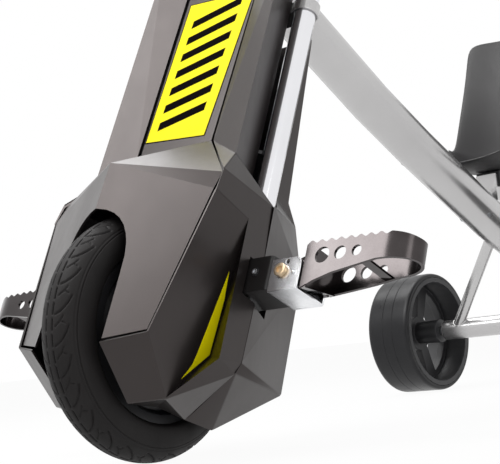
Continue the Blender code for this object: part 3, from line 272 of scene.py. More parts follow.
def grain_group():
    """Mixes two shades by a broad cloud and a fine speckle, and gives the speckle as a height."""
    made, given, out = group(
        "fine_grain",
        [
            ("Dark", "NodeSocketColor", (0.1, 0.1, 0.1, 1.0)),
            ("Light", "NodeSocketColor", (0.2, 0.2, 0.2, 1.0)),
            ("Speckle Scale", "NodeSocketFloat", 900.0),
            ("Cloud Scale", "NodeSocketFloat", 6.0),
        ],
        [("Color", "NodeSocketColor"), ("Height", "NodeSocketFloat")],
    )
    place = node(made, "ShaderNodeTexCoord", (-800, -300))
    speckle = node(made, "ShaderNodeTexNoise", (-500, 0), Detail=3.0, Roughness=0.6)
    cloud = node(made, "ShaderNodeTexNoise", (-500, -300), Detail=4.0, Roughness=0.55)
    both = node(made, "ShaderNodeMath", (-200, -100), operation="MULTIPLY_ADD")
    both.inputs[1].default_value = 0.35
    spread = node(made, "ShaderNodeMapRange", (0, -100), From_Min=0.45, From_Max=0.90)
    shade = node(made, "ShaderNodeMix", (300, 0), data_type="RGBA")
    made.links.new(place.outputs["Object"], speckle.inputs["Vector"])
    made.links.new(place.outputs["Object"], cloud.inputs["Vector"])
    made.links.new(given.outputs["Speckle Scale"], speckle.inputs["Scale"])
    made.links.new(given.outputs["Cloud Scale"], cloud.inputs["Scale"])
    made.links.new(speckle.outputs["Fac"], both.inputs[0])
    made.links.new(cloud.outputs["Fac"], both.inputs[2])
    made.links.new(both.outputs[0], spread.inputs["Value"])
    made.links.new(spread.outputs["Result"], shade.inputs["Factor"])
    made.links.new(given.outputs["Dark"], shade.inputs["A"])
    made.links.new(given.outputs["Light"], shade.inputs["B"])
    made.links.new(shade.outputs["Result"], out.inputs["Color"])
    made.links.new(speckle.outputs["Fac"], out.inputs["Height"])
    return made


GRAIN = grain_group()
print(GRAIN.name, "has", len(GRAIN.nodes), "nodes")

# %% [markdown]
# Handling leaves some spots glossier than others. A map of scuffs could be painted, but stretched
# noise gives the same wandering gloss on every piece without any unwrapping.

# %% Scuffs
def scuff_group():
    """Gives a roughness that wanders between two values, with short brighter scuffs."""
    made, given, out = group(
        "handling_scuffs",
        [
            ("Smooth", "NodeSocketFloat", 0.3),
            ("Rough", "NodeSocketFloat", 0.5),
            ("Scale", "NodeSocketFloat", 14.0),
        ],
        [("Roughness", "NodeSocketFloat")],
    )
    place = node(made, "ShaderNodeTexCoord", (-800, -300))
    stretch = node(
        made, "ShaderNodeMapping", (-600, -300), Rotation=(0.5, 0.3, 0.9), Scale=(1.0, 1.0, 0.25)
    )
    cloud = node(made, "ShaderNodeTexNoise", (-300, -200), Detail=6.0, Roughness=0.7)
    spread = node(made, "ShaderNodeMapRange", (100, 0), From_Min=0.35, From_Max=0.68)
    made.links.new(place.outputs["Object"], stretch.inputs["Vector"])
    made.links.new(stretch.outputs["Vector"], cloud.inputs["Vector"])
    made.links.new(given.outputs["Scale"], cloud.inputs["Scale"])
    made.links.new(cloud.outputs["Fac"], spread.inputs["Value"])
    made.links.new(given.outputs["Smooth"], spread.inputs["To Min"])
    made.links.new(given.outputs["Rough"], spread.inputs["To Max"])
    made.links.new(spread.outputs["Result"], out.inputs["Roughness"])
    return made


SCUFFS = scuff_group()
print(SCUFFS.name, "has", len(SCUFFS.nodes), "nodes")

# %% [markdown]
# Drawn and turned metal keeps fine lines that run one way. They are far finer than any mesh here,
# so they aren't modelled: noise that is squeezed along one direction stands for them.

# %% Brush lines
def brush_group():
    """Fine lines along one direction, as drawing or polishing leaves on metal."""
    made, given, out = group(
        "brush_lines",
        [("Squeeze", "NodeSocketVector", (1.0, 1.0, 0.02)), ("Scale", "NodeSocketFloat", 500.0)],
        [("Height", "NodeSocketFloat")],
    )
    place = node(made, "ShaderNodeTexCoord", (-800, -300))
    squeeze = node(made, "ShaderNodeVectorMath", (-500, -200), operation="MULTIPLY")
    lines = node(made, "ShaderNodeTexNoise", (-200, -200), Detail=2.0, Roughness=0.5)
    made.links.new(place.outputs["Object"], squeeze.inputs[0])
    made.links.new(given.outputs["Squeeze"], squeeze.inputs[1])
    made.links.new(squeeze.outputs[0], lines.inputs["Vector"])
    made.links.new(given.outputs["Scale"], lines.inputs["Scale"])
    made.links.new(lines.outputs["Fac"], out.inputs["Height"])
    return made


BRUSH = brush_group()
print(BRUSH.name, "has", len(BRUSH.nodes), "nodes")

# %% [markdown]
# Every finish is one Principled shader fed by those groups. An image could carry the colour, but
# it would need unwrapped surfaces, and noise in the object's own space needs none. Colours are
# written in the usual 0 to 255 values and turned into the linear values that Blender uses.

# %% A maker for finishes
COAT_ROUGHNESS = 0.12


def linear(*srgb):
    """A colour written as 0 to 255 values, as the linear values that a shader takes."""
    share = [c / 255.0 for c in srgb]
    return (*(c / 12.92 if c <= 0.04045 else ((c + 0.055) / 1.055) ** 2.4 for c in share), 1.0)


def finish(
    name, dark, light, smooth, rough, metallic, speckle, cloud, bump, depth, squeeze=None, coat=0.0
):
    """One material: two shades, a range of gloss, a fine relief and, if asked, brush lines."""
    made = bpy.data.materials.new(name)
    made.use_nodes = True
    tree = made.node_tree
    shader = tree.nodes["Principled BSDF"]
    shader.inputs["Metallic"].default_value = metallic
    shader.inputs["Coat Weight"].default_value = coat
    shader.inputs["Coat Roughness"].default_value = COAT_ROUGHNESS
    grain = node(tree, "ShaderNodeGroup", (-600, 200), node_tree=GRAIN)
    grain.inputs["Dark"].default_value = linear(*dark)
    grain.inputs["Light"].default_value = linear(*light)
    grain.inputs["Speckle Scale"].default_value = speckle
    grain.inputs["Cloud Scale"].default_value = cloud
    scuffs = node(tree, "ShaderNodeGroup", (-600, -100), node_tree=SCUFFS)
    scuffs.inputs["Smooth"].default_value = smooth
    scuffs.inputs["Rough"].default_value = rough
    relief = node(tree, "ShaderNodeBump", (-300, -300), Strength=bump, Distance=depth)
    tree.links.new(grain.outputs["Color"], shader.inputs["Base Color"])
    tree.links.new(scuffs.outputs["Roughness"], shader.inputs["Roughness"])
    source = grain.outputs["Height"]
    if squeeze:
        brush = node(tree, "ShaderNodeGroup", (-600, -400), node_tree=BRUSH)
        brush.inputs["Squeeze"].default_value = squeeze
        source = brush.outputs["Height"]
    tree.links.new(source, relief.inputs["Height"])
    tree.links.new(relief.outputs["Normal"], shader.inputs["Normal"])
    return made


# %% [markdown]
# The finishes of the machine. The cover is a satin moulding with a metallic sheen, warm grey where
# it faces the light. The tubes are silver lacquer, the pegs dark plated steel with a strong gloss,
# the brackets bright zinc, and the pivot bolt has a yellow passivation like brass. Each row gives
# two shades, the two ends of the roughness, the size of the speckle and the cloud, and the relief.

# %% The machine's finishes
FINISHES = {
    "satin_cover": dict(
        dark=(50, 45, 44), light=(57, 52, 51), smooth=0.30, rough=0.38, metallic=0.74,
        speckle=1500.0, cloud=5.0, bump=0.08, depth=0.0001, coat=0.08,
    ),
    "black_plastic": dict(
        dark=(33, 32, 33), light=(44, 43, 44), smooth=0.46, rough=0.58, metallic=0.0,
        speckle=1200.0, cloud=7.0, bump=0.18, depth=0.0002,
    ),
    "tyre_rubber": dict(
        dark=(14, 12, 12), light=(25, 22, 22), smooth=0.58, rough=0.74, metallic=0.0,
        speckle=700.0, cloud=9.0, bump=0.30, depth=0.0003,
    ),
    "black_rubber": dict(
        dark=(26, 25, 26), light=(40, 39, 40), smooth=0.60, rough=0.78, metallic=0.0,
        speckle=900.0, cloud=10.0, bump=0.25, depth=0.0002,
    ),
    "silver_paint": dict(
        dark=(186, 185, 185), light=(198, 197, 197), smooth=0.22, rough=0.27, metallic=0.90,
        speckle=1800.0, cloud=4.0, bump=0.03, depth=0.0001,
    ),
    "bright_steel": dict(
        dark=(176, 178, 182), light=(206, 207, 210), smooth=0.22, rough=0.36, metallic=1.0,
        speckle=900.0, cloud=8.0, bump=0.10, depth=0.0001, squeeze=(0.03, 1.0, 1.0),
    ),
    "black_steel": dict(
        dark=(28, 28, 30), light=(42, 42, 44), smooth=0.36, rough=0.50, metallic=0.2,
        speckle=1600.0, cloud=8.0, bump=0.20, depth=0.0002,
    ),
    "aluminium": dict(
        dark=(150, 152, 155), light=(182, 184, 187), smooth=0.32, rough=0.46, metallic=1.0,
        speckle=900.0, cloud=8.0, bump=0.12, depth=0.0001, squeeze=(0.04, 1.0, 1.0),
    ),
    "zinc_plate": dict(
        dark=(218, 219, 222), light=(240, 241, 243), smooth=0.16, rough=0.30, metallic=1.0,
        speckle=260.0, cloud=22.0, bump=0.06, depth=0.0001,
    ),
    "brass_bolt": dict(
        dark=(196, 172, 138), light=(226, 206, 180), smooth=0.20, rough=0.34, metallic=1.0,
        speckle=400.0, cloud=30.0, bump=0.08, depth=0.0001,
    ),
    "clamp_block": dict(
        dark=(14, 13, 13), light=(22, 20, 20), smooth=0.34, rough=0.46, metallic=0.0,
        speckle=1200.0, cloud=12.0, bump=0.10, depth=0.0001,
    ),
    "bright_leg": dict(
        dark=(226, 226, 229), light=(236, 236, 239), smooth=0.11, rough=0.16, metallic=1.0,
        speckle=1800.0, cloud=4.0, bump=0.02, depth=0.0001,
    ),
    "peg_plate": dict(
        dark=(64, 60, 60), light=(80, 76, 76), smooth=0.14, rough=0.22, metallic=1.0,
        speckle=700.0, cloud=14.0, bump=0.02, depth=0.0001,
    ),
    "battery_case": dict(
        dark=(42, 46, 54), light=(56, 61, 70), smooth=0.40, rough=0.56, metallic=0.0,
        speckle=500.0, cloud=8.0, bump=0.10, depth=0.0002,
    ),
    "cast_wheel": dict(
        dark=(36, 36, 38), light=(50, 50, 52), smooth=0.44, rough=0.58, metallic=0.0,
        speckle=1000.0, cloud=8.0, bump=0.20, depth=0.0002,
    ),
    "slick_sleeve": dict(
        dark=(24, 24, 26), light=(36, 36, 38), smooth=0.26, rough=0.44, metallic=0.0,
        speckle=800.0, cloud=9.0, bump=0.06, depth=0.0002,
    ),
}
LOOKS = {name: finish(name, **values) for name, values in FINISHES.items()}


def specular(name, level):
    """Sets how strongly a finish mirrors; rubber and vinyl mirror less than a moulding does."""
    shader = LOOKS[name].node_tree.nodes["Principled BSDF"]
    shader.inputs["Specular IOR Level"].default_value = level


for rubber in ("tyre_rubber", "black_rubber", "slick_sleeve"):
    specular(rubber, 0.25)
SLOTS = {row["node"]: row["material_slot"] for row in frame["record"]["subparts"]}
for name, solid in nodes.items():
    solid.data.materials.clear()
    solid.data.materials.append(LOOKS[SLOTS[name]])
print(len(LOOKS), "finishes on", len(nodes), "solids")

# %% [markdown]
# New pieces share one closing step: the bmesh becomes an object at the origin, gets its finish, its
# body to ride on and, where it stands for a solid, that solid is hidden. Normals are recalculated
# first, because a spin or a mirror can turn a shape inside out.

# %% The closing step of a piece
def piece(name, shape, look, body, stands_for=(), angle=35.0, weighted=True):
    """Turns a bmesh into an object; edges that turn by more than the angle stay sharp."""
    bmesh.ops.remove_doubles(shape, verts=shape.verts, dist=1e-6)
    bmesh.ops.recalc_face_normals(shape, faces=shape.faces)
    mesh = bpy.data.meshes.new(name)
    shape.to_mesh(mesh)
    shape.free()
    mesh.shade_smooth()
    mesh.set_sharp_from_angle(angle=math.radians(angle))
    mesh.materials.append(look if isinstance(look, bpy.types.Material) else LOOKS[look])
    made = bpy.data.objects.new(name, mesh)
    scene.collection.objects.link(made)
    if weighted:
        made.modifiers.new("even_normals", "WEIGHTED_NORMAL").keep_sharp = True
    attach(made, body)
    if stands_for:
        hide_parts(*stands_for)
    return made


print("closing step ready")

# %% [markdown]
# Four more helpers are shared. One spins a profile, as a lathe would. One takes a solid and merges
# the loose triangles that it comes in, so that its edges can be found. One rounds edges, and one
# picks out what an extrusion has made.

# %% Shapes that are shared
def spun(profile, steps, place):
    """A closed profile of (along, radius) points spun round local X, then put in its place."""
    shape = bmesh.new()
    ring = [shape.verts.new((a, 0.0, r)) for a, r in profile]
    edges = [shape.edges.new((a, b)) for a, b in zip(ring, ring[1:] + ring[:1])]
    bmesh.ops.spin(
        shape, geom=ring + edges, cent=(0, 0, 0), axis=(1, 0, 0),
        angle=math.tau, steps=steps, use_merge=True,
    )
    bmesh.ops.remove_doubles(shape, verts=shape.verts, dist=1e-6)
    bmesh.ops.transform(shape, matrix=place, verts=shape.verts)
    return shape


def merged(name):
    """A solid's shape with its loose triangles merged and its flat areas dissolved to one face."""
    shape = bmesh.new()
    shape.from_mesh(nodes[name].data)
    bmesh.ops.remove_doubles(shape, verts=shape.verts, dist=2e-6)
    bmesh.ops.dissolve_limit(
        shape, angle_limit=math.radians(0.6), use_dissolve_boundaries=False,
        verts=shape.verts, edges=shape.edges,
    )
    return shape


def bevelled(shape, edges, width, segments=2):
    """Rounds the given edges of a bmesh."""
    bmesh.ops.bevel(
        shape, geom=edges, offset=width, offset_type="OFFSET", segments=segments,
        profile=0.5, affect="EDGES", clamp_overlap=True, material=-1,
    )


def moved_verts(geom):
    """The vertices among what an extrusion made."""
    return [item for item in geom if isinstance(item, bmesh.types.BMVert)]


print("helpers ready")

# %% [markdown]
# A mould or a press never leaves a knife edge, and it is the thin bright line along a rounded edge
# that makes plastic and metal look real. These pieces could be drawn again, but their solids have
# the right size already, so each starts as a copy: the loose triangles are merged, flat areas are
# dissolved to single faces, and the edges that turn by more than a set angle are bevelled. On the
# covers the long shallow edges between facets get a wider and softer round first. The bevel only
# takes material away, so the size is kept.

# %% Softened copies of the solids
def edge_turn(edge):
    """How far the surface turns at an edge, in degrees."""
    return math.degrees(edge.calc_face_angle(0.0))


def softened(name, width, angle=25.0, crease=None):
    """A rounded copy of a solid; a width of 0 only merges it, a crease rounds the facets' edges."""
    shape = merged(name)
    if crease:
        shallow = [e for e in shape.edges if e.calc_length() > 0.016 and 6.0 < edge_turn(e) < 75.0]
        bevelled(shape, shallow, crease, 3)
    sharp = [e for e in shape.edges if edge_turn(e) > angle]
    if width:
        bevelled(shape, sharp, width)
    piece(f"{name}_soft", shape, SLOTS[name], body_of(nodes[name])[0], (name,))


EDGES = {
    # width of the round in metres, and the solids that get it
    0.0: ["main_frame", "fork_leg_left", "fork_leg_right", "steerer_tube", "hub_axle", "rear_axle"],
    0.0004: ["hub_motor", "brake_disc", "headset_lower", "headset_upper"],
    0.0005: [
        "brake_lever", "axle_nut_left", "axle_nut_right", "rear_axle_nut_left",
        "rear_axle_nut_right", "switch_bezel", "charge_port_cap", "power_switch", "console_cap",
        "seat_clamp_lever", "brake_arm",
    ],
    0.0010: [
        "lower_crown", "upper_crown", "bar_clamp_left", "bar_clamp_right", "brake_caliper",
        "seat_carriage", "battery_tray", "brake_perch", "throttle_housing", "steerer_nut",
        "charge_port",
    ],
    0.0012: ["peg_block_left", "peg_block_right"],
    0.0015: ["battery_pack", "motor_controller", "rear_wheel_left", "rear_wheel_right"],
}
COVERS = ("front_panel", "side_cover_left", "side_cover_right", "rear_cover")
for width, names in EDGES.items():
    for name in names:
        softened(name, width)
for leg in ("fork_leg_left_soft", "fork_leg_right_soft"):
    bpy.data.objects[leg].data.materials[0] = LOOKS["bright_leg"]
for name in COVERS:
    softened(name, 0.0006, 76.0, 0.0022)
print("softened", sum(len(names) for names in EDGES.values()) + len(COVERS), "pieces")

# %% [markdown]
# The front tyre is the piece that the photograph shows from nearest. Its plain shape is one spin of
# its section: a round carcass with a bead at each side. The section is much finer over the tread
# than inside, because the pattern is pressed into it afterwards.

# %% Section of the front tyre
TYRE_CORE = 0.1235
TYRE_HALF = 0.0355
TYRE_WALL = 0.0055
TYRE_STEPS = 720
BEAD = [(0.0268, 0.1115), (0.0265, 0.1035), (0.0213, 0.1035)]


def tyre_section():
    """The carcass from bead to bead, finer over the tread than inside."""
    walls = np.linspace(-105, -72, 8), np.linspace(72, 105, 8)
    outer = np.radians(np.concatenate([walls[0], np.linspace(-70, 70, 101), walls[1]]))
    inner = np.radians(np.linspace(132, -132, 12))
    hollow = TYRE_HALF - TYRE_WALL
    section = [(TYRE_HALF * math.sin(t), TYRE_CORE + TYRE_HALF * math.cos(t)) for t in outer]
    section += BEAD
    section += [(hollow * math.sin(t), TYRE_CORE + hollow * math.cos(t)) for t in inner]
    section += [(-across, radius) for across, radius in reversed(BEAD)]
    return section


print("the tyre's section has", len(tyre_section()), "points")

# %% [markdown]
# The tread has two dashed grooves round the middle, long curved sipes that run to the shoulder,
# short forked sipes between them, and two fine rings on each sidewall. The pattern repeats, so it
# is written once, on the unrolled tread: how far along one repeat and how far across a point lies.
# How deep the tread is there follows from the distance to the nearest line.

# %% Pattern of the tread
REPEATS = 26
PITCH = math.tau * FRONT_RADIUS / REPEATS
GROOVE, GROOVE_HALF, GROOVE_DEEP = 0.0052, 0.0014, 0.0022
RINGS, RING_HALF, RING_DEEP = (0.0335, 0.0372), 0.0010, 0.0009
SIPES = [
    # points as a share of the pitch and a distance across, then half width and depth
    ([(0.02, 0.0095), (0.10, 0.0150), (0.24, 0.0200), (0.44, 0.0245), (0.68, 0.0275)],
     0.0018, 0.0020),
    ([(0.62, 0.0100), (0.80, 0.0165), (0.74, 0.0225)], 0.0013, 0.0016),
    ([(0.80, 0.0165), (0.98, 0.0200)], 0.0013, 0.0014),
]


def near_line(u, v, a, b):
    """Distance in metres from points (u, v) to the stretch a to b, repeated round the tyre."""
    best = np.full(u.shape, 1.0)
    for shift in (-PITCH, 0.0, PITCH):
        run = np.array([b[0] - a[0], b[1] - a[1]])
        share = ((u - a[0] - shift) * run[0] + (v - a[1]) * run[1]) / (run @ run)
        share = np.clip(share, 0.0, 1.0)
        away = np.hypot(u - a[0] - shift - share * run[0], v - a[1] - share * run[1])
        best = np.minimum(best, away)
    return best


def pressed(distance, half, depth):
    """How far a vertex sinks: full depth on the line, nothing past its half width."""
    share = np.clip(1.0 - distance / half, 0.0, 1.0)
    return depth * share * share * (3.0 - 2.0 * share)


def tread_depth(turn, across):
    """Depth of the tread at an angle round the tyre and a distance across it, in metres."""
    side = np.sign(across)
    v = np.abs(across)
    u = np.mod(turn * FRONT_RADIUS + np.where(side > 0, 0.5 * PITCH, 0.0), PITCH)
    dashed = np.mod(u / PITCH * 2.0, 1.0) < 0.80
    depth = pressed(np.abs(v - GROOVE), GROOVE_HALF, GROOVE_DEEP) * dashed
    for points, half, deep in SIPES:
        for (ua, va), (ub, vb) in zip(points, points[1:]):
            line = near_line(u, v, (ua * PITCH, va), (ub * PITCH, vb))
            depth = np.maximum(depth, pressed(line, half, deep))
    for ring in RINGS:
        depth = np.maximum(depth, pressed(np.abs(v - ring), RING_HALF, RING_DEEP))
    return depth


print("one repeat of the tread is", round(PITCH * 1000.0, 1), "mm long")

# %% [markdown]
# The tyre is spun first and patterned second. Each outer vertex knows its turn round the wheel and
# its lean round the carcass, which is its place on the unrolled tread, and it sinks towards the
# tyre's core by the depth there. Moving vertices keeps one clean surface, where cutting some
# hundred grooves out of the tyre would leave ragged edges.

# %% Front tyre with its tread
TREAD_LEAN = math.radians(75.0)


def front_tyre():
    """Spins the section, then sinks each outer vertex towards the core by the tread's depth."""
    shape = spun(tyre_section(), TYRE_STEPS, WORLD)
    mesh = bpy.data.meshes.new("unrolled")
    shape.to_mesh(mesh)
    points = np.empty(len(mesh.vertices) * 3)
    mesh.vertices.foreach_get("co", points)
    points = points.reshape(-1, 3)
    radius = np.hypot(points[:, 1], points[:, 2])
    turn = np.arctan2(points[:, 1], points[:, 2])
    lean = np.arctan2(points[:, 0], radius - TYRE_CORE)
    reach = np.hypot(points[:, 0], radius - TYRE_CORE)
    outside = (reach > TYRE_HALF - 0.0005) & (np.abs(lean) < TREAD_LEAN)
    depth = np.where(outside, tread_depth(turn, lean * TYRE_HALF), 0.0)
    new_reach = reach - depth
    new_radius = np.where(outside, TYRE_CORE + new_reach * np.cos(lean), radius)
    points[:, 0] = np.where(outside, new_reach * np.sin(lean), points[:, 0])
    points[:, 1] *= new_radius / radius
    points[:, 2] *= new_radius / radius
    for vert, place in zip(shape.verts, points):
        vert.co = place
    bpy.data.meshes.remove(mesh)
    bmesh.ops.transform(shape, matrix=FORK, verts=shape.verts)
    return piece(
        "front_tyre_tread", shape, "tyre_rubber", "front_wheel", ("front_tyre",), 60.0, False
    )


tread = front_tyre()
print("tread has", len(tread.data.polygons), "faces")

# %% [markdown]
# Round pieces are drawn again with more sides than the solids need. The bar is one steel tube, bent
# four times. Its rings could be placed one by one, but a curve with a round bevel needs only the
# corners, which are rounded first as a tube bender would, and is then turned into a mesh.

# %% Handlebar
def rounded(corners, radius, steps=8):
    """A path whose corners are replaced by arcs."""
    corners = [Vector(c) for c in corners]
    path = [corners[0]]
    for before, corner, after in zip(corners, corners[1:], corners[2:]):
        a = (before - corner).normalized()
        b = (after - corner).normalized()
        half = a.angle(b) / 2.0
        middle = corner + (a + b).normalized() * (radius / math.sin(half))
        start = corner + a * (radius / math.tan(half)) - middle
        stop = corner + b * (radius / math.tan(half)) - middle
        path += [middle + start.slerp(stop, k / steps) * radius for k in range(steps + 1)]
    return path + [corners[-1]]


def tube_mesh(paths, radius, sides=8):
    """A bmesh of round tubes along paths of world points; more sides make them rounder."""
    line = bpy.data.curves.new("path", "CURVE")
    line.dimensions = "3D"
    line.bevel_depth = radius
    line.bevel_resolution = sides
    line.use_fill_caps = True
    for path in paths:
        spline = line.splines.new("POLY")
        spline.points.add(len(path) - 1)
        for point, place in zip(spline.points, path):
            point.co = (*place, 1.0)
    holder = bpy.data.objects.new("path", line)
    scene.collection.objects.link(holder)
    graph = bpy.context.evaluated_depsgraph_get()
    mesh = bpy.data.meshes.new_from_object(holder.evaluated_get(graph))
    shape = bmesh.new()
    shape.from_mesh(mesh)
    bpy.data.objects.remove(holder)
    bpy.data.curves.remove(line)
    bpy.data.meshes.remove(mesh)
    return shape


def stand_in(name, shape, angle=35.0):
    """A new piece for one solid, with the solid's finish and body."""
    return piece(f"{name}_round", shape, SLOTS[name], body_of(nodes[name])[0], (name,), angle)


BAR_CORNER = Vector((0.190, 0.0705, 0.855))
BAR_END = Vector((0.372, 0.1655, 0.857))
BAR_FOOT = Vector((0.085, 0.0455, 0.745))
BAR_RADIUS = 0.011
BAR_BEND = 0.045


def handlebar():
    """One bent tube from end to end."""
    half = [BAR_END, BAR_CORNER, BAR_FOOT]
    corners = [Vector((-p.x, p.y, p.z)) for p in half] + half[::-1]
    return tube_mesh([[FORK @ p for p in rounded(corners, BAR_BEND)]], BAR_RADIUS)


stand_in("handlebar", handlebar())
print("bar bent from", round(2.0 * BAR_END.x, 3), "m of width")

# %% [markdown]
# A grip is a rubber sleeve with shallow ribs. A stack of cylinders would leave seams inside it, so
# it is one closed profile spun round the bar's outer stretch. The profile is drawn along the bar,
# in a frame there whose X runs outwards. The throttle sleeve is the same profile, open at its end,
# and turns with its own body.

# %% Grips and the throttle sleeve
GRIP_RADIUS = 0.016
CONTROL_REACH = 0.2053


def on_bar(side):
    """The frame of the outer stretch of the bar, one reach in from its end; X runs outwards."""
    end = Vector((side * BAR_END.x, BAR_END.y, BAR_END.z))
    along = (end - Vector((side * BAR_CORNER.x, BAR_CORNER.y, BAR_CORNER.z))).normalized()
    back = Vector((0.0, 0.0, 1.0)).cross(along).normalized() * side
    up = along.cross(back)
    if up.z < 0.0:
        back, up = -back, -up
    turned = Matrix((along, back, up)).transposed().to_4x4()
    return Matrix.Translation(end - along * CONTROL_REACH) @ turned


def ribbed(name, start, end, side, flange, closed):
    """A rubber sleeve on the bar: an inner flange, shallow ribs and an end that may be closed."""
    bore = BAR_RADIUS + 0.0003
    radius = GRIP_RADIUS
    valley = radius - 0.0011
    profile = [(start, bore), (start, radius + flange - 0.001), (start + 0.001, radius + flange)]
    profile += [(start + 0.004, radius + flange), (start + 0.0055, radius)]
    x = start + 0.009
    while x < end - 0.010:
        profile += [(x, radius), (x + 0.0006, valley), (x + 0.0020, valley), (x + 0.0026, radius)]
        x += 0.0056
    profile += [(end - 0.0030, radius), (end - 0.0010, radius - 0.0008), (end, radius - 0.0030)]
    if closed:
        tip = CONTROL_REACH + 0.0003
        profile += [(end, 0.0), (tip, 0.0), (tip, bore)]
    else:
        profile += [(end, bore)]
    stand_in(name, spun(profile, 64, FORK @ on_bar(side)))


ribbed("grip_left", 0.078, CONTROL_REACH + 0.004, 1, 0.004, True)
ribbed("grip_right", 0.1346, CONTROL_REACH + 0.004, -1, 0.0, True)
ribbed("throttle_sleeve", 0.0723, 0.1343, -1, 0.003, False)
print("grips and throttle sleeve on the bar")

# %% [markdown]
# The rear wheels wear a hard slick sleeve instead of a tyre, which lets such a machine slide. A
# bevelled cylinder would have its shoulders but not its mould lines, so this too is a spun profile.
# Half of it is drawn and mirrored, so that both shoulders are alike.

# %% Sleeves of the rear wheels
REAR_HUB = Vector((0.285, REAR_Y, REAR_RADIUS))


def rear_sleeve(side):
    """The hard sleeve: a slick band with rounded shoulders and two fine mould lines."""
    half = 0.0465
    wide, tall = 0.009, 0.004
    shoulder = [
        (half - wide + wide * math.sin(t), REAR_RADIUS - tall + tall * math.cos(t))
        for t in np.linspace(0.0, 1.57, 7)
    ]
    line = [(0.012, REAR_RADIUS), (0.0113, REAR_RADIUS - 0.0006), (0.0106, REAR_RADIUS)]
    right = [(half, REAR_RADIUS - 0.008)] + shoulder[::-1] + line
    left = [(-a, r) for a, r in reversed(right)]
    place = Matrix.Translation((side * REAR_HUB.x, REAR_HUB.y, REAR_HUB.z))
    return spun(right + left, 128, place)


for side, word in SIDES:
    stand_in(f"rear_sleeve_{word}", rear_sleeve(side))
print("sleeves drawn")

# %% [markdown]
# The seat is a moulded bucket. It could be sculpted anew, but its solid is a coarse grid with a
# wall, which makes a good cage: the triangles are joined to four-sided faces again, and a
# subdivision surface rounds the shell, which so stays where the solid is.

# %% Seat shell
def seat():
    """The seat's solid as a cage of four-sided faces under a subdivision surface."""
    shape = bmesh.new()
    shape.from_mesh(nodes["seat_shell"].data)
    bmesh.ops.remove_doubles(shape, verts=shape.verts, dist=2e-6)
    bmesh.ops.join_triangles(
        shape, faces=shape.faces,
        angle_face_threshold=math.radians(60), angle_shape_threshold=math.radians(60),
    )
    made = stand_in("seat_shell", shape, 180.0)
    made.modifiers.clear()
    rounding = made.modifiers.new("rounding", "SUBSURF")
    rounding.levels = 2
    rounding.render_levels = 2


seat()
print("seat shell rounded")

# %% [markdown]
# The frame is welded from tubes. Where one tube meets another there is a small bead of weld, and it
# is what makes a joint look made rather than cut. A bump could suggest it, but a real ridge catches
# light from every side. The meeting lines are the inward edges of the solid: they are walked end to
# end and a thin tube is laid along each of them.

# %% Weld beads on the frame
BEAD_RADIUS = 0.0018
SHORTEST_BEAD = 0.015


def meeting_lines(shape):
    """Paths along the edges where two faces meet inwards, always walked in the same order."""
    inward = [e for e in shape.edges if not e.is_convex and edge_turn(e) > 24.0]
    paths = []
    while inward:
        edge = inward.pop(0)
        path = [edge.verts[0], edge.verts[1]]
        for grow in (1, 0):
            while True:
                tip = path[-1] if grow else path[0]
                following = next((e for e in tip.link_edges if e in inward), None)
                if following is None:
                    break
                inward.remove(following)
                other = following.other_vert(tip)
                path = path + [other] if grow else [other] + path
        if sum((a.co - b.co).length for a, b in zip(path, path[1:])) > SHORTEST_BEAD:
            paths.append([v.co.copy() for v in path])
    return paths


def weld_beads():
    """Lays a bead along every meeting line of the frame and tells how many there are."""
    shape = merged("main_frame")
    paths = meeting_lines(shape)
    shape.free()
    piece("weld_beads", tube_mesh(paths, BEAD_RADIUS, 2), "silver_paint", "frame", (), 60.0)
    return len(paths)


print("weld beads laid along", weld_beads(), "lines")

# %% [markdown]
# The pegs and their brackets are cut from plate and folded. Holes could be cut with a boolean, but
# filling the outline and the holes' rings in one go leaves clean edges that a bevel can follow. A
# plain block goes with it, and two steps that join several shapes and place them on their side.

# %% Plates and blocks
def flat_plate(outline, holes, thick):
    """An outline in X and Z with round holes, filled and given a thickness along Y."""
    shape = bmesh.new()
    circle = np.linspace(0.0, math.tau, 33)[:-1]
    rounds = [[(x + r * math.cos(t), z + r * math.sin(t)) for t in circle] for x, z, r in holes]
    for ring in [outline] + rounds:
        verts = [shape.verts.new((x, 0.0, z)) for x, z in ring]
        for a, b in zip(verts, verts[1:] + verts[:1]):
            shape.edges.new((a, b))
    bmesh.ops.triangle_fill(shape, use_beauty=True, edges=shape.edges, normal=(0.0, -1.0, 0.0))
    pushed = bmesh.ops.extrude_face_region(shape, geom=shape.faces[:])["geom"]
    bmesh.ops.translate(shape, verts=moved_verts(pushed), vec=(0.0, thick, 0.0))
    bmesh.ops.recalc_face_normals(shape, faces=shape.faces)
    return shape


def block(low, high):
    """A box between two corners."""
    low, high = Vector(low), Vector(high)
    shape = bmesh.new()
    bmesh.ops.create_cube(shape, size=1.0)
    bmesh.ops.scale(shape, vec=high - low, verts=shape.verts)
    bmesh.ops.translate(shape, vec=(high + low) / 2.0, verts=shape.verts)
    return shape


def together(shapes):
    """Several bmeshes as the loose parts of one."""
    whole = bmesh.new()
    for shape in shapes:
        mesh = bpy.data.meshes.new("loose")
        shape.to_mesh(mesh)
        shape.free()
        whole.from_mesh(mesh)
        bpy.data.meshes.remove(mesh)
    return whole


def placed(parts, side, name, look, body, stands_for):
    """Joins the parts of one side, mirrors them if need be and eases their edges a little."""
    shape = together(parts)
    bmesh.ops.scale(shape, vec=(side, 1.0, 1.0), verts=shape.verts)
    bmesh.ops.transform(shape, matrix=FORK, verts=shape.verts)
    made = piece(name, shape, look, body, (stands_for,), 40.0)
    edge = made.modifiers.new("eased_edges", "BEVEL")
    edge.width = 0.0005
    edge.segments = 2
    edge.limit_method = "ANGLE"
    edge.angle_limit = math.radians(50.0)


print("plate makers ready")

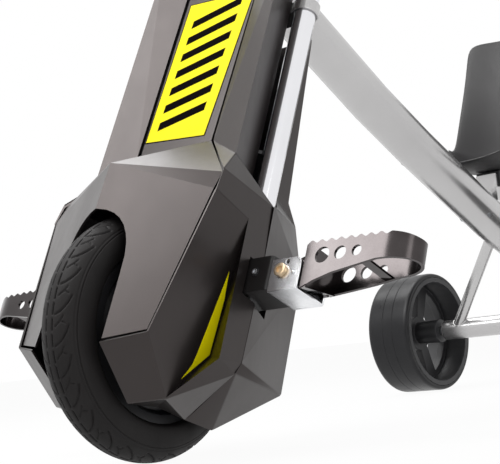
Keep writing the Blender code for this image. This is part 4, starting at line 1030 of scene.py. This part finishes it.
# %% [markdown]
# Each foot peg is a strip of steel, cut flat with its scalloped crest, its slanting lower edge and
# its holes, and then bent into a loop. The mesh is made the same way: the flat outline is filled,
# given its thickness, cut where it will bend, and each vertex is then laid along the loop. A curve
# modifier could lay it so too, but it needs a second object, and here one formula does it. The bend
# is half an ellipse, so the run along it is measured first.

# %% The peg's strip, cut flat and bent
PIVOT_X, PIVOT_Z = 0.194, 0.077
PEG_AXIS = Vector((PIVOT_X, 0.0455, PIVOT_Z))
PEG_HALF = 0.0295
PEG_STEEL = 0.004
PEG_KNEE = 0.334
PEG_TIP = 0.045
PEG_ROOT = 0.229
PEG_HOLES = ((0.2548, 0.0892, 0.0106), (0.2816, 0.0887, 0.0086), (0.3057, 0.0880, 0.0070))
LOWER_NEAR = [
    (0.2290, 0.0490), (0.2470, 0.0567), (0.2721, 0.0639), (0.3072, 0.0694), (PEG_KNEE, 0.0735)
]
LOWER_FAR = [(PEG_KNEE, 0.0755), (0.2977, 0.0699), (0.2630, 0.0663), (0.2290, 0.0630)]
CREST_TOP = 0.1075
CREST_END = 0.352
BEND = np.radians(np.linspace(-90.0, 90.0, 181))
BEND_X = PEG_KNEE + PEG_TIP * np.cos(BEND)
BEND_Y = PEG_HALF * np.sin(BEND)
BEND_RUN = np.concatenate([[0.0], np.cumsum(np.hypot(np.diff(BEND_X), np.diff(BEND_Y)))])


def crest(x):
    """Height of the peg's scalloped upper edge."""
    if x > CREST_END:
        return CREST_TOP - 0.10 * (x - CREST_END) - 6.0 * max(x - 0.362, 0.0) ** 2
    wave = 0.0018 * (1.0 - math.cos(math.tau * (CREST_END - x) / 0.0145))
    return CREST_TOP + 0.030 * (CREST_END - x) - wave - 60.0 * max(0.234 - x, 0.0) ** 2


def along_strip(run):
    """Distance from the wheel along the peg for a place on the flat strip."""
    if run < 0.0:
        return PEG_KNEE + run
    if run > BEND_RUN[-1]:
        return PEG_KNEE - (run - BEND_RUN[-1])
    return float(np.interp(run, BEND_RUN, BEND_X))


def peg_strip():
    """The flat strip, cut every few millimetres where it bends, then laid along the loop."""
    end = BEND_RUN[-1]
    lower = [(x - PEG_KNEE, z) for x, z in LOWER_NEAR]
    lower += [(end + PEG_KNEE - x, z) for x, z in LOWER_FAR]
    runs = np.linspace(lower[0][0], lower[-1][0], 340)
    upper = [(run, crest(along_strip(run))) for run in runs]
    holes = []
    for x, z, radius in PEG_HOLES:
        holes += [(x - PEG_KNEE, z, radius), (end + PEG_KNEE - x, z, radius)]
    shape = flat_plate(lower + upper[::-1], holes, PEG_STEEL)
    for run in np.linspace(0.0, end, 33):
        everything = shape.verts[:] + shape.edges[:] + shape.faces[:]
        bmesh.ops.bisect_plane(
            shape, geom=everything, dist=1e-7, plane_co=(run, 0.0, 0.0), plane_no=(1.0, 0.0, 0.0)
        )
    for vert in shape.verts:
        run, inward, z = vert.co
        turn = float(np.interp(run, BEND_RUN, BEND))
        out = Vector((PEG_HALF * math.cos(turn), PEG_TIP * math.sin(turn))).normalized()
        x = along_strip(run) - inward * out.x
        y = float(np.interp(run, BEND_RUN, BEND_Y)) - inward * out.y
        vert.co = (x, PEG_AXIS.y + y, z)
    return shape


strip_length = float(BEND_RUN[-1] + 2.0 * (PEG_KNEE - PEG_ROOT))
print("pegs bent from", round(strip_length, 3), "m of strip each")

# %% [markdown]
# A wall and a tongue close the peg at its root, and a flat bar joins its two sides. The tongue goes
# between the cheeks of a folded bracket, and the pivot bolt through all three. The bracket is plate
# too: two cheeks with round corners, a wall against the clamp block and a floor, with the small
# detent ball that holds the peg down. One folded skin would be truer inside its corners, but parts
# that overlap are simpler and look the same. Pegs ride on their own bodies, brackets on the fork.

# %% Foot pegs and their brackets
PIVOT_HOLE = (PIVOT_X, PIVOT_Z, 0.0045)
BRACKET_FACE = 0.1763
BRACKET_STEEL = 0.003
BRACKET_HALF = 0.0275


def foot_peg(side, word):
    """The bent strip with the wall and tongue of its root and a flat bar between its sides."""
    y = PEG_AXIS.y
    near, far = y - PEG_HALF + 0.001, y + PEG_HALF - 0.001
    wall = block((PEG_ROOT, near, 0.049), (PEG_ROOT + 0.008, far, 0.106))
    for vert in wall.verts:
        if vert.co.z < 0.06 and vert.co.y > y:
            vert.co.z = 0.063
    half_turn = np.linspace(0.5 * math.pi, 1.5 * math.pi, 17)
    arc = [(PIVOT_X + 0.014 * math.cos(t), PIVOT_Z + 0.014 * math.sin(t)) for t in half_turn]
    outline = arc + [(0.210, 0.063), (0.216, 0.060), (0.232, 0.060)]
    outline += [(0.232, 0.094), (0.222, 0.094), (0.214, 0.091)]
    tongue = flat_plate(outline, [PIVOT_HOLE], 0.047)
    bmesh.ops.translate(tongue, vec=(0.0, y - 0.0235, 0.0), verts=tongue.verts)
    bar = block((0.309, y - PEG_HALF + 0.002, 0.0745), (0.322, y + PEG_HALF - 0.002, 0.0775))
    parts = [peg_strip(), wall, tongue, bar]
    placed(parts, side, f"peg_loop_{word}", "peg_plate", f"peg_{word}", f"peg_{word}")


def peg_bracket(side, word):
    """A folded plate: two cheeks with round corners, a wall against the block and a floor."""
    face = BRACKET_FACE
    steel = BRACKET_STEEL
    y = PEG_AXIS.y
    quarter = np.linspace(0.0, 0.5 * math.pi, 9)
    corner = [(0.211 + 0.012 * math.cos(t), 0.0825 + 0.012 * math.sin(t)) for t in quarter]
    outline = [(face, 0.0505), (0.2210, 0.0505), (0.2230, 0.0525)] + corner + [(face, 0.0945)]
    parts = [block((face, y - 0.0272, 0.0507), (face + steel, y + 0.0272, 0.0943))]
    parts.append(block((face + 0.0002, y - 0.0272, 0.0507), (0.2225, y + 0.0272, 0.0535)))
    for low in (-BRACKET_HALF, 0.0245):
        cheek = flat_plate(outline, [PIVOT_HOLE, (0.2011, 0.0889, 0.0030)], steel)
        bmesh.ops.translate(cheek, vec=(0.0, y + low, 0.0), verts=cheek.verts)
        parts.append(cheek)
    ball = bmesh.new()
    bmesh.ops.create_uvsphere(ball, u_segments=20, v_segments=12, radius=0.0030)
    bmesh.ops.translate(ball, vec=(0.2140, y - BRACKET_HALF, 0.0730), verts=ball.verts)
    parts.append(ball)
    placed(parts, side, f"folded_bracket_{word}", "zinc_plate", "fork", f"peg_bracket_{word}")


for side, word in SIDES:
    foot_peg(side, word)
    peg_bracket(side, word)
print("two pegs and two brackets in place")

# %% [markdown]
# The decals are cut vinyl. They could be painted into the cover's material, but a thin sheet has an
# edge of its own and stays crisp from close by. One maker serves them all: a flat outline on its
# facet, pushed out by a fraction of a millimetre. Both kinds mirror little here, so the yellow
# stays clear and the black stays black.

# %% Vinyl and a maker for stickers
VINYLS = {
    "yellow_vinyl": dict(
        dark=(236, 221, 3), light=(246, 232, 6), smooth=0.44, rough=0.52, metallic=0.0,
        speckle=1500.0, cloud=5.0, bump=0.03, depth=0.0001,
    ),
    "black_vinyl": dict(
        dark=(15, 13, 14), light=(22, 20, 21), smooth=0.46, rough=0.54, metallic=0.0,
        speckle=1500.0, cloud=5.0, bump=0.03, depth=0.0001,
    ),
}
for name, values in VINYLS.items():
    LOOKS[name] = finish(name, **values)
specular("yellow_vinyl", 0.08)
specular("black_vinyl", 0.0)


def sticker(name, outline, normal, low, high, look):
    """A flat outline in the fork's frame, pushed out along its facet's normal to a thin sheet."""
    shape = bmesh.new()
    normal = Vector(normal).normalized()
    ring = [shape.verts.new(Vector(p) + normal * low) for p in outline]
    face = shape.faces.new(ring)
    pushed = bmesh.ops.extrude_face_region(shape, geom=[face])["geom"]
    bmesh.ops.translate(shape, verts=moved_verts(pushed), vec=normal * (high - low))
    bmesh.ops.transform(shape, matrix=FORK, verts=shape.verts)
    made = piece(name, shape, LOOKS[look], "fork", (), 35.0, False)


print(len(VINYLS), "kinds of vinyl")

# %% [markdown]
# On the tower is a yellow panel with black slanted bars. The panel lies on a slightly larger black
# one, which shows as its border, and the bars lie on top, each layer a little prouder than the one
# below. The panel is a little wider towards its top, so the ends of the bars follow its edges.

# %% The tower's panel
PANEL_FOOT_Y, PANEL_FOOT_Z = -0.0305, 0.263
PANEL_TOP_Y, PANEL_TOP_Z = -0.0137, 0.600
PANEL_OUT = (0.0, -0.337, 0.0168)  # square to the panel, outwards
DECAL = [(-0.0650, 0.2884), (0.0497, 0.2757), (0.0660, 0.5190), (-0.0621, 0.5339)]
DECAL_BORDER = 0.0016
BAR_SLANT = 0.19
BARS = [(0.3010 + 0.0300 * k, 0.0140, 0.14, 0.86) for k in range(7)]
BORDER_LAYER, PANEL_LAYER, BAR_LAYER = (0.00010, 0.00022), (0.00024, 0.00036), (0.00038, 0.00050)


def tower_point(x, z):
    """A point of the tower's front panel, from its place across and its height."""
    share = (z - PANEL_FOOT_Z) / (PANEL_TOP_Z - PANEL_FOOT_Z)
    return Vector((x, PANEL_FOOT_Y + (PANEL_TOP_Y - PANEL_FOOT_Y) * share, z))


def decal_edge(side, z):
    """Where the panel's left or right edge is at a height, measured across the tower."""
    (xa, za), (xb, zb) = (DECAL[0], DECAL[3]) if side < 0 else (DECAL[1], DECAL[2])
    return xa + (xb - xa) * (z - za) / (zb - za)


def slanted_bar(low, thick, left, right):
    """Four corners of a bar that rises to the rider's left; its ends follow the panel's edges."""
    corners = []
    for share, lift in ((left, 0.0), (right, 0.0), (right, thick), (left, thick)):
        z = low + lift
        x = decal_edge(-1, z) * (1.0 - share) + decal_edge(1, z) * share
        corners.append(tower_point(x, z + BAR_SLANT * (x - decal_edge(-1, low))))
    return corners


def tower_decal():
    """The yellow panel on a slightly larger black one, and the bars on top."""
    middle = sum((Vector((x, 0.0, z)) for x, z in DECAL), Vector()) / 4.0
    grown = [
        (x + math.copysign(DECAL_BORDER, x), z + math.copysign(DECAL_BORDER, z - middle.z))
        for x, z in DECAL
    ]
    outer = [tower_point(x, z) for x, z in grown]
    inner = [tower_point(x, z) for x, z in DECAL]
    sticker("tower_decal_border", outer, PANEL_OUT, *BORDER_LAYER, "black_vinyl")
    sticker("tower_decal", inner, PANEL_OUT, *PANEL_LAYER, "yellow_vinyl")
    for k, bar in enumerate(BARS):
        sticker(f"tower_bar_{k}", slanted_bar(*bar), PANEL_OUT, *BAR_LAYER, "black_vinyl")


tower_decal()
print("panel with", len(BARS), "bars on the tower")

# %% [markdown]
# In the sunk facet of each side cover is a long yellow wedge. The facet is a sloping plane, so a
# point of the outline needs only its place along the cover and its height: the plane gives the
# rest.

# %% Wedges on the side covers
WEDGE = [
    (-0.0042, 0.0743), (-0.0071, -0.0360), (-0.0085, -0.0499),
    (-0.0181, -0.0719), (0.0150, -0.0274), (0.0055, 0.0410),
]
POCKET_X, POCKET_BY_Y, POCKET_BY_Z = 0.1136, 0.1198, 0.1832


def pocket(y, z):
    """A point of the sunk facet of the left side cover, which is a sloping plane."""
    return Vector((POCKET_X - POCKET_BY_Y * y + POCKET_BY_Z * z, y, z))


for side, word in SIDES:
    outline = [Vector((side * p.x, p.y, p.z)) for p in (pocket(y, z) for y, z in WEDGE)]
    out = (side * 1.0, POCKET_BY_Y, -POCKET_BY_Z)
    sticker(f"wedge_decal_{word}", outline, out, 0.00015, 0.00035, "yellow_vinyl")
print("a wedge on each side cover")

# %% [markdown]
# The tower's front panel and its side covers meet along two grooves. A real cover has a lip behind
# such a groove, so that neither light nor water gets through. The covers themselves could be given
# it, but a strip of its own leaves their shape alone: a thin black block whose corners are slid
# back until it lies on the inner side of the sloping panel.

# %% Lips behind the tower's grooves
LIP_THICK = 0.0012
LIP_BEHIND = 0.0030


def groove_lip(side, word):
    """A strip behind one groove, from the battery tray up to the tower's cap."""
    shape = block((0.0635, 0.0, 0.2762), (0.0800, LIP_THICK, 0.5997))
    for vert in shape.verts:
        vert.co.y += tower_point(0.0, vert.co.z).y + LIP_BEHIND
    bmesh.ops.scale(shape, vec=(side, 1.0, 1.0), verts=shape.verts)
    bmesh.ops.transform(shape, matrix=FORK, verts=shape.verts)
    piece(f"groove_lip_{word}", shape, "black_plastic", "fork")


for side, word in SIDES:
    groove_lip(side, word)
print("grooves closed from behind")

# %% [markdown]
# Small hardware is what the solids leave out: a washer and a socket screw in the face of each clamp
# block, the pivot bolt's recessed head, the bolts of the hub motor's cover, the tyre's valve, the
# pinch bolts of the crowns and the bar clamps, and a small screw low on each side of the backbone.
# One maker turns the head and sinks its hexagonal socket. A boolean could cut the socket; here the
# flat end is inset, its ring of vertices is drawn to a hexagon, and that is pressed in, which keeps
# the head one clean mesh.

# %% A maker for socket screws
HEADS = {
    # radius and height of each kind of head
    "washer": (0.0062, 0.0012),
    "block": (0.0040, 0.0026),
    "pivot": (0.0088, 0.0052),
    "crown": (0.0046, 0.0040),
    "clamp": (0.0040, 0.0030),
    "tube": (0.0040, 0.0016),
    "motor": (0.0036, 0.0022),
}


def aligned(place, direction, base=FORK):
    """A matrix that puts a part's local X along a direction at a place in the given frame."""
    turned = Vector(direction).to_track_quat("X", "Z").to_matrix().to_4x4()
    return base @ Matrix.Translation(place) @ turned


def round_faces(shape):
    """The faces with many corners: the flat ends of the head."""
    return [f for f in shape.faces if len(f.verts) > 12]


def socket_screw(name, head, place, direction, body="fork", look="bright_steel", base=FORK):
    """A cap screw: a turned head with a small chamfer and a hexagonal socket pressed into it."""
    radius, height = HEADS[head]
    shape = bmesh.new()
    circle = np.linspace(0, math.tau, 25)[:-1]
    ring = [shape.verts.new((0.0, radius * math.cos(t), radius * math.sin(t))) for t in circle]
    face = shape.faces.new(ring)
    top = bmesh.ops.extrude_face_region(shape, geom=[face])["geom"]
    cap = next(item for item in top if isinstance(item, bmesh.types.BMFace))
    bmesh.ops.translate(shape, verts=moved_verts(top), vec=(height, 0.0, 0.0))
    bevelled(shape, list(cap.edges), 0.12 * radius)
    cap = max(round_faces(shape), key=lambda f: f.calc_center_median().x)
    bmesh.ops.inset_region(shape, faces=[cap], thickness=0.36 * radius, depth=0.0)
    cap = max(round_faces(shape), key=lambda f: (f.calc_center_median().x, -f.calc_area()))
    for vert in cap.verts:
        turn = math.atan2(vert.co.z, vert.co.y)
        fold = (turn + math.pi / 6.0) % (math.pi / 3.0) - math.pi / 6.0
        reach = 0.50 * radius / math.cos(fold)
        vert.co.y = reach * math.cos(turn)
        vert.co.z = reach * math.sin(turn)
    verts = moved_verts(bmesh.ops.extrude_face_region(shape, geom=[cap])["geom"])
    bmesh.ops.delete(shape, geom=[cap], context="FACES_ONLY")
    bmesh.ops.translate(shape, verts=verts, vec=(-0.6 * height, 0.0, 0.0))
    bmesh.ops.transform(shape, matrix=aligned(place, direction, base), verts=shape.verts)
    piece(name, shape, look, body, (), 30.0)


print(len(HEADS), "kinds of head")

# %% [markdown]
# The places come from the solids: the clamp blocks' faces, the pegs' pivots, the crowns, the bar
# clamps, the backbone and the motor's two faces. The pivot bolt's shank and nut and the valve have
# no socket, so each is one spun profile.

# %% Screws, bolts and the valve
FORWARD = (0, -1, 0)
SHANK = [
    (0.0, 0.0), (0.0, 0.0042), (-0.0556, 0.0042), (-0.0556, 0.0075),
    (-0.0596, 0.0075), (-0.0601, 0.0070), (-0.0601, 0.0),
]
VALVE = [
    (0.0, 0.0), (0.0, 0.0048), (0.003, 0.0045), (0.011, 0.0032),
    (0.011, 0.0042), (0.019, 0.0042), (0.020, 0.0030), (0.020, 0.0),
]

for side, word in SIDES:
    for spot, y, way in (("front", 0.0185, -1), ("rear", 0.0725, 1)):
        place, out = (side * 0.150, y, 0.0815), (0, way, 0)
        socket_screw(f"block_washer_{spot}_{word}", "washer", place, out, look="black_steel")
        socket_screw(f"block_screw_{spot}_{word}", "block", place, out)
    cheek = (side * PIVOT_X, 0.0177, PIVOT_Z)
    socket_screw(f"pivot_head_{word}", "pivot", cheek, FORWARD, look="brass_bolt")
    stand_in(f"peg_pivot_{word}", spun(SHANK, 32, aligned(cheek, FORWARD)))
    for level, z in (("low", 0.514), ("high", 0.7152)):
        place = (side * 0.066, 0.0310, z)
        socket_screw(f"crown_screw_{level}_{word}", "crown", place, FORWARD)
    place = (side * 0.035, 0.0255, 0.7190)
    socket_screw(f"bar_clamp_screw_{word}", "clamp", place, FORWARD, look="black_steel")
    place, out = (side * 0.0289, 0.3477, 0.3198), (side * 0.808, -0.284, -0.515)
    socket_screw(f"tube_screw_{word}", "tube", place, out, "frame", "aluminium", WORLD)
for k in range(8):
    turn = math.tau * k / 8.0
    for side, word in SIDES:
        place = (side * 0.031, 0.066 * math.cos(turn), 0.066 * math.sin(turn))
        socket_screw(f"motor_screw_{word}_{k}", "motor", place, (side, 0, 0), "front_wheel")
stem = spun(VALVE, 24, aligned((0.0240, 0.0570, -0.0780), (1.0, -0.10, 0.14)))
piece("tyre_valve", stem, "black_rubber", "front_wheel")
print("screws and valve in")
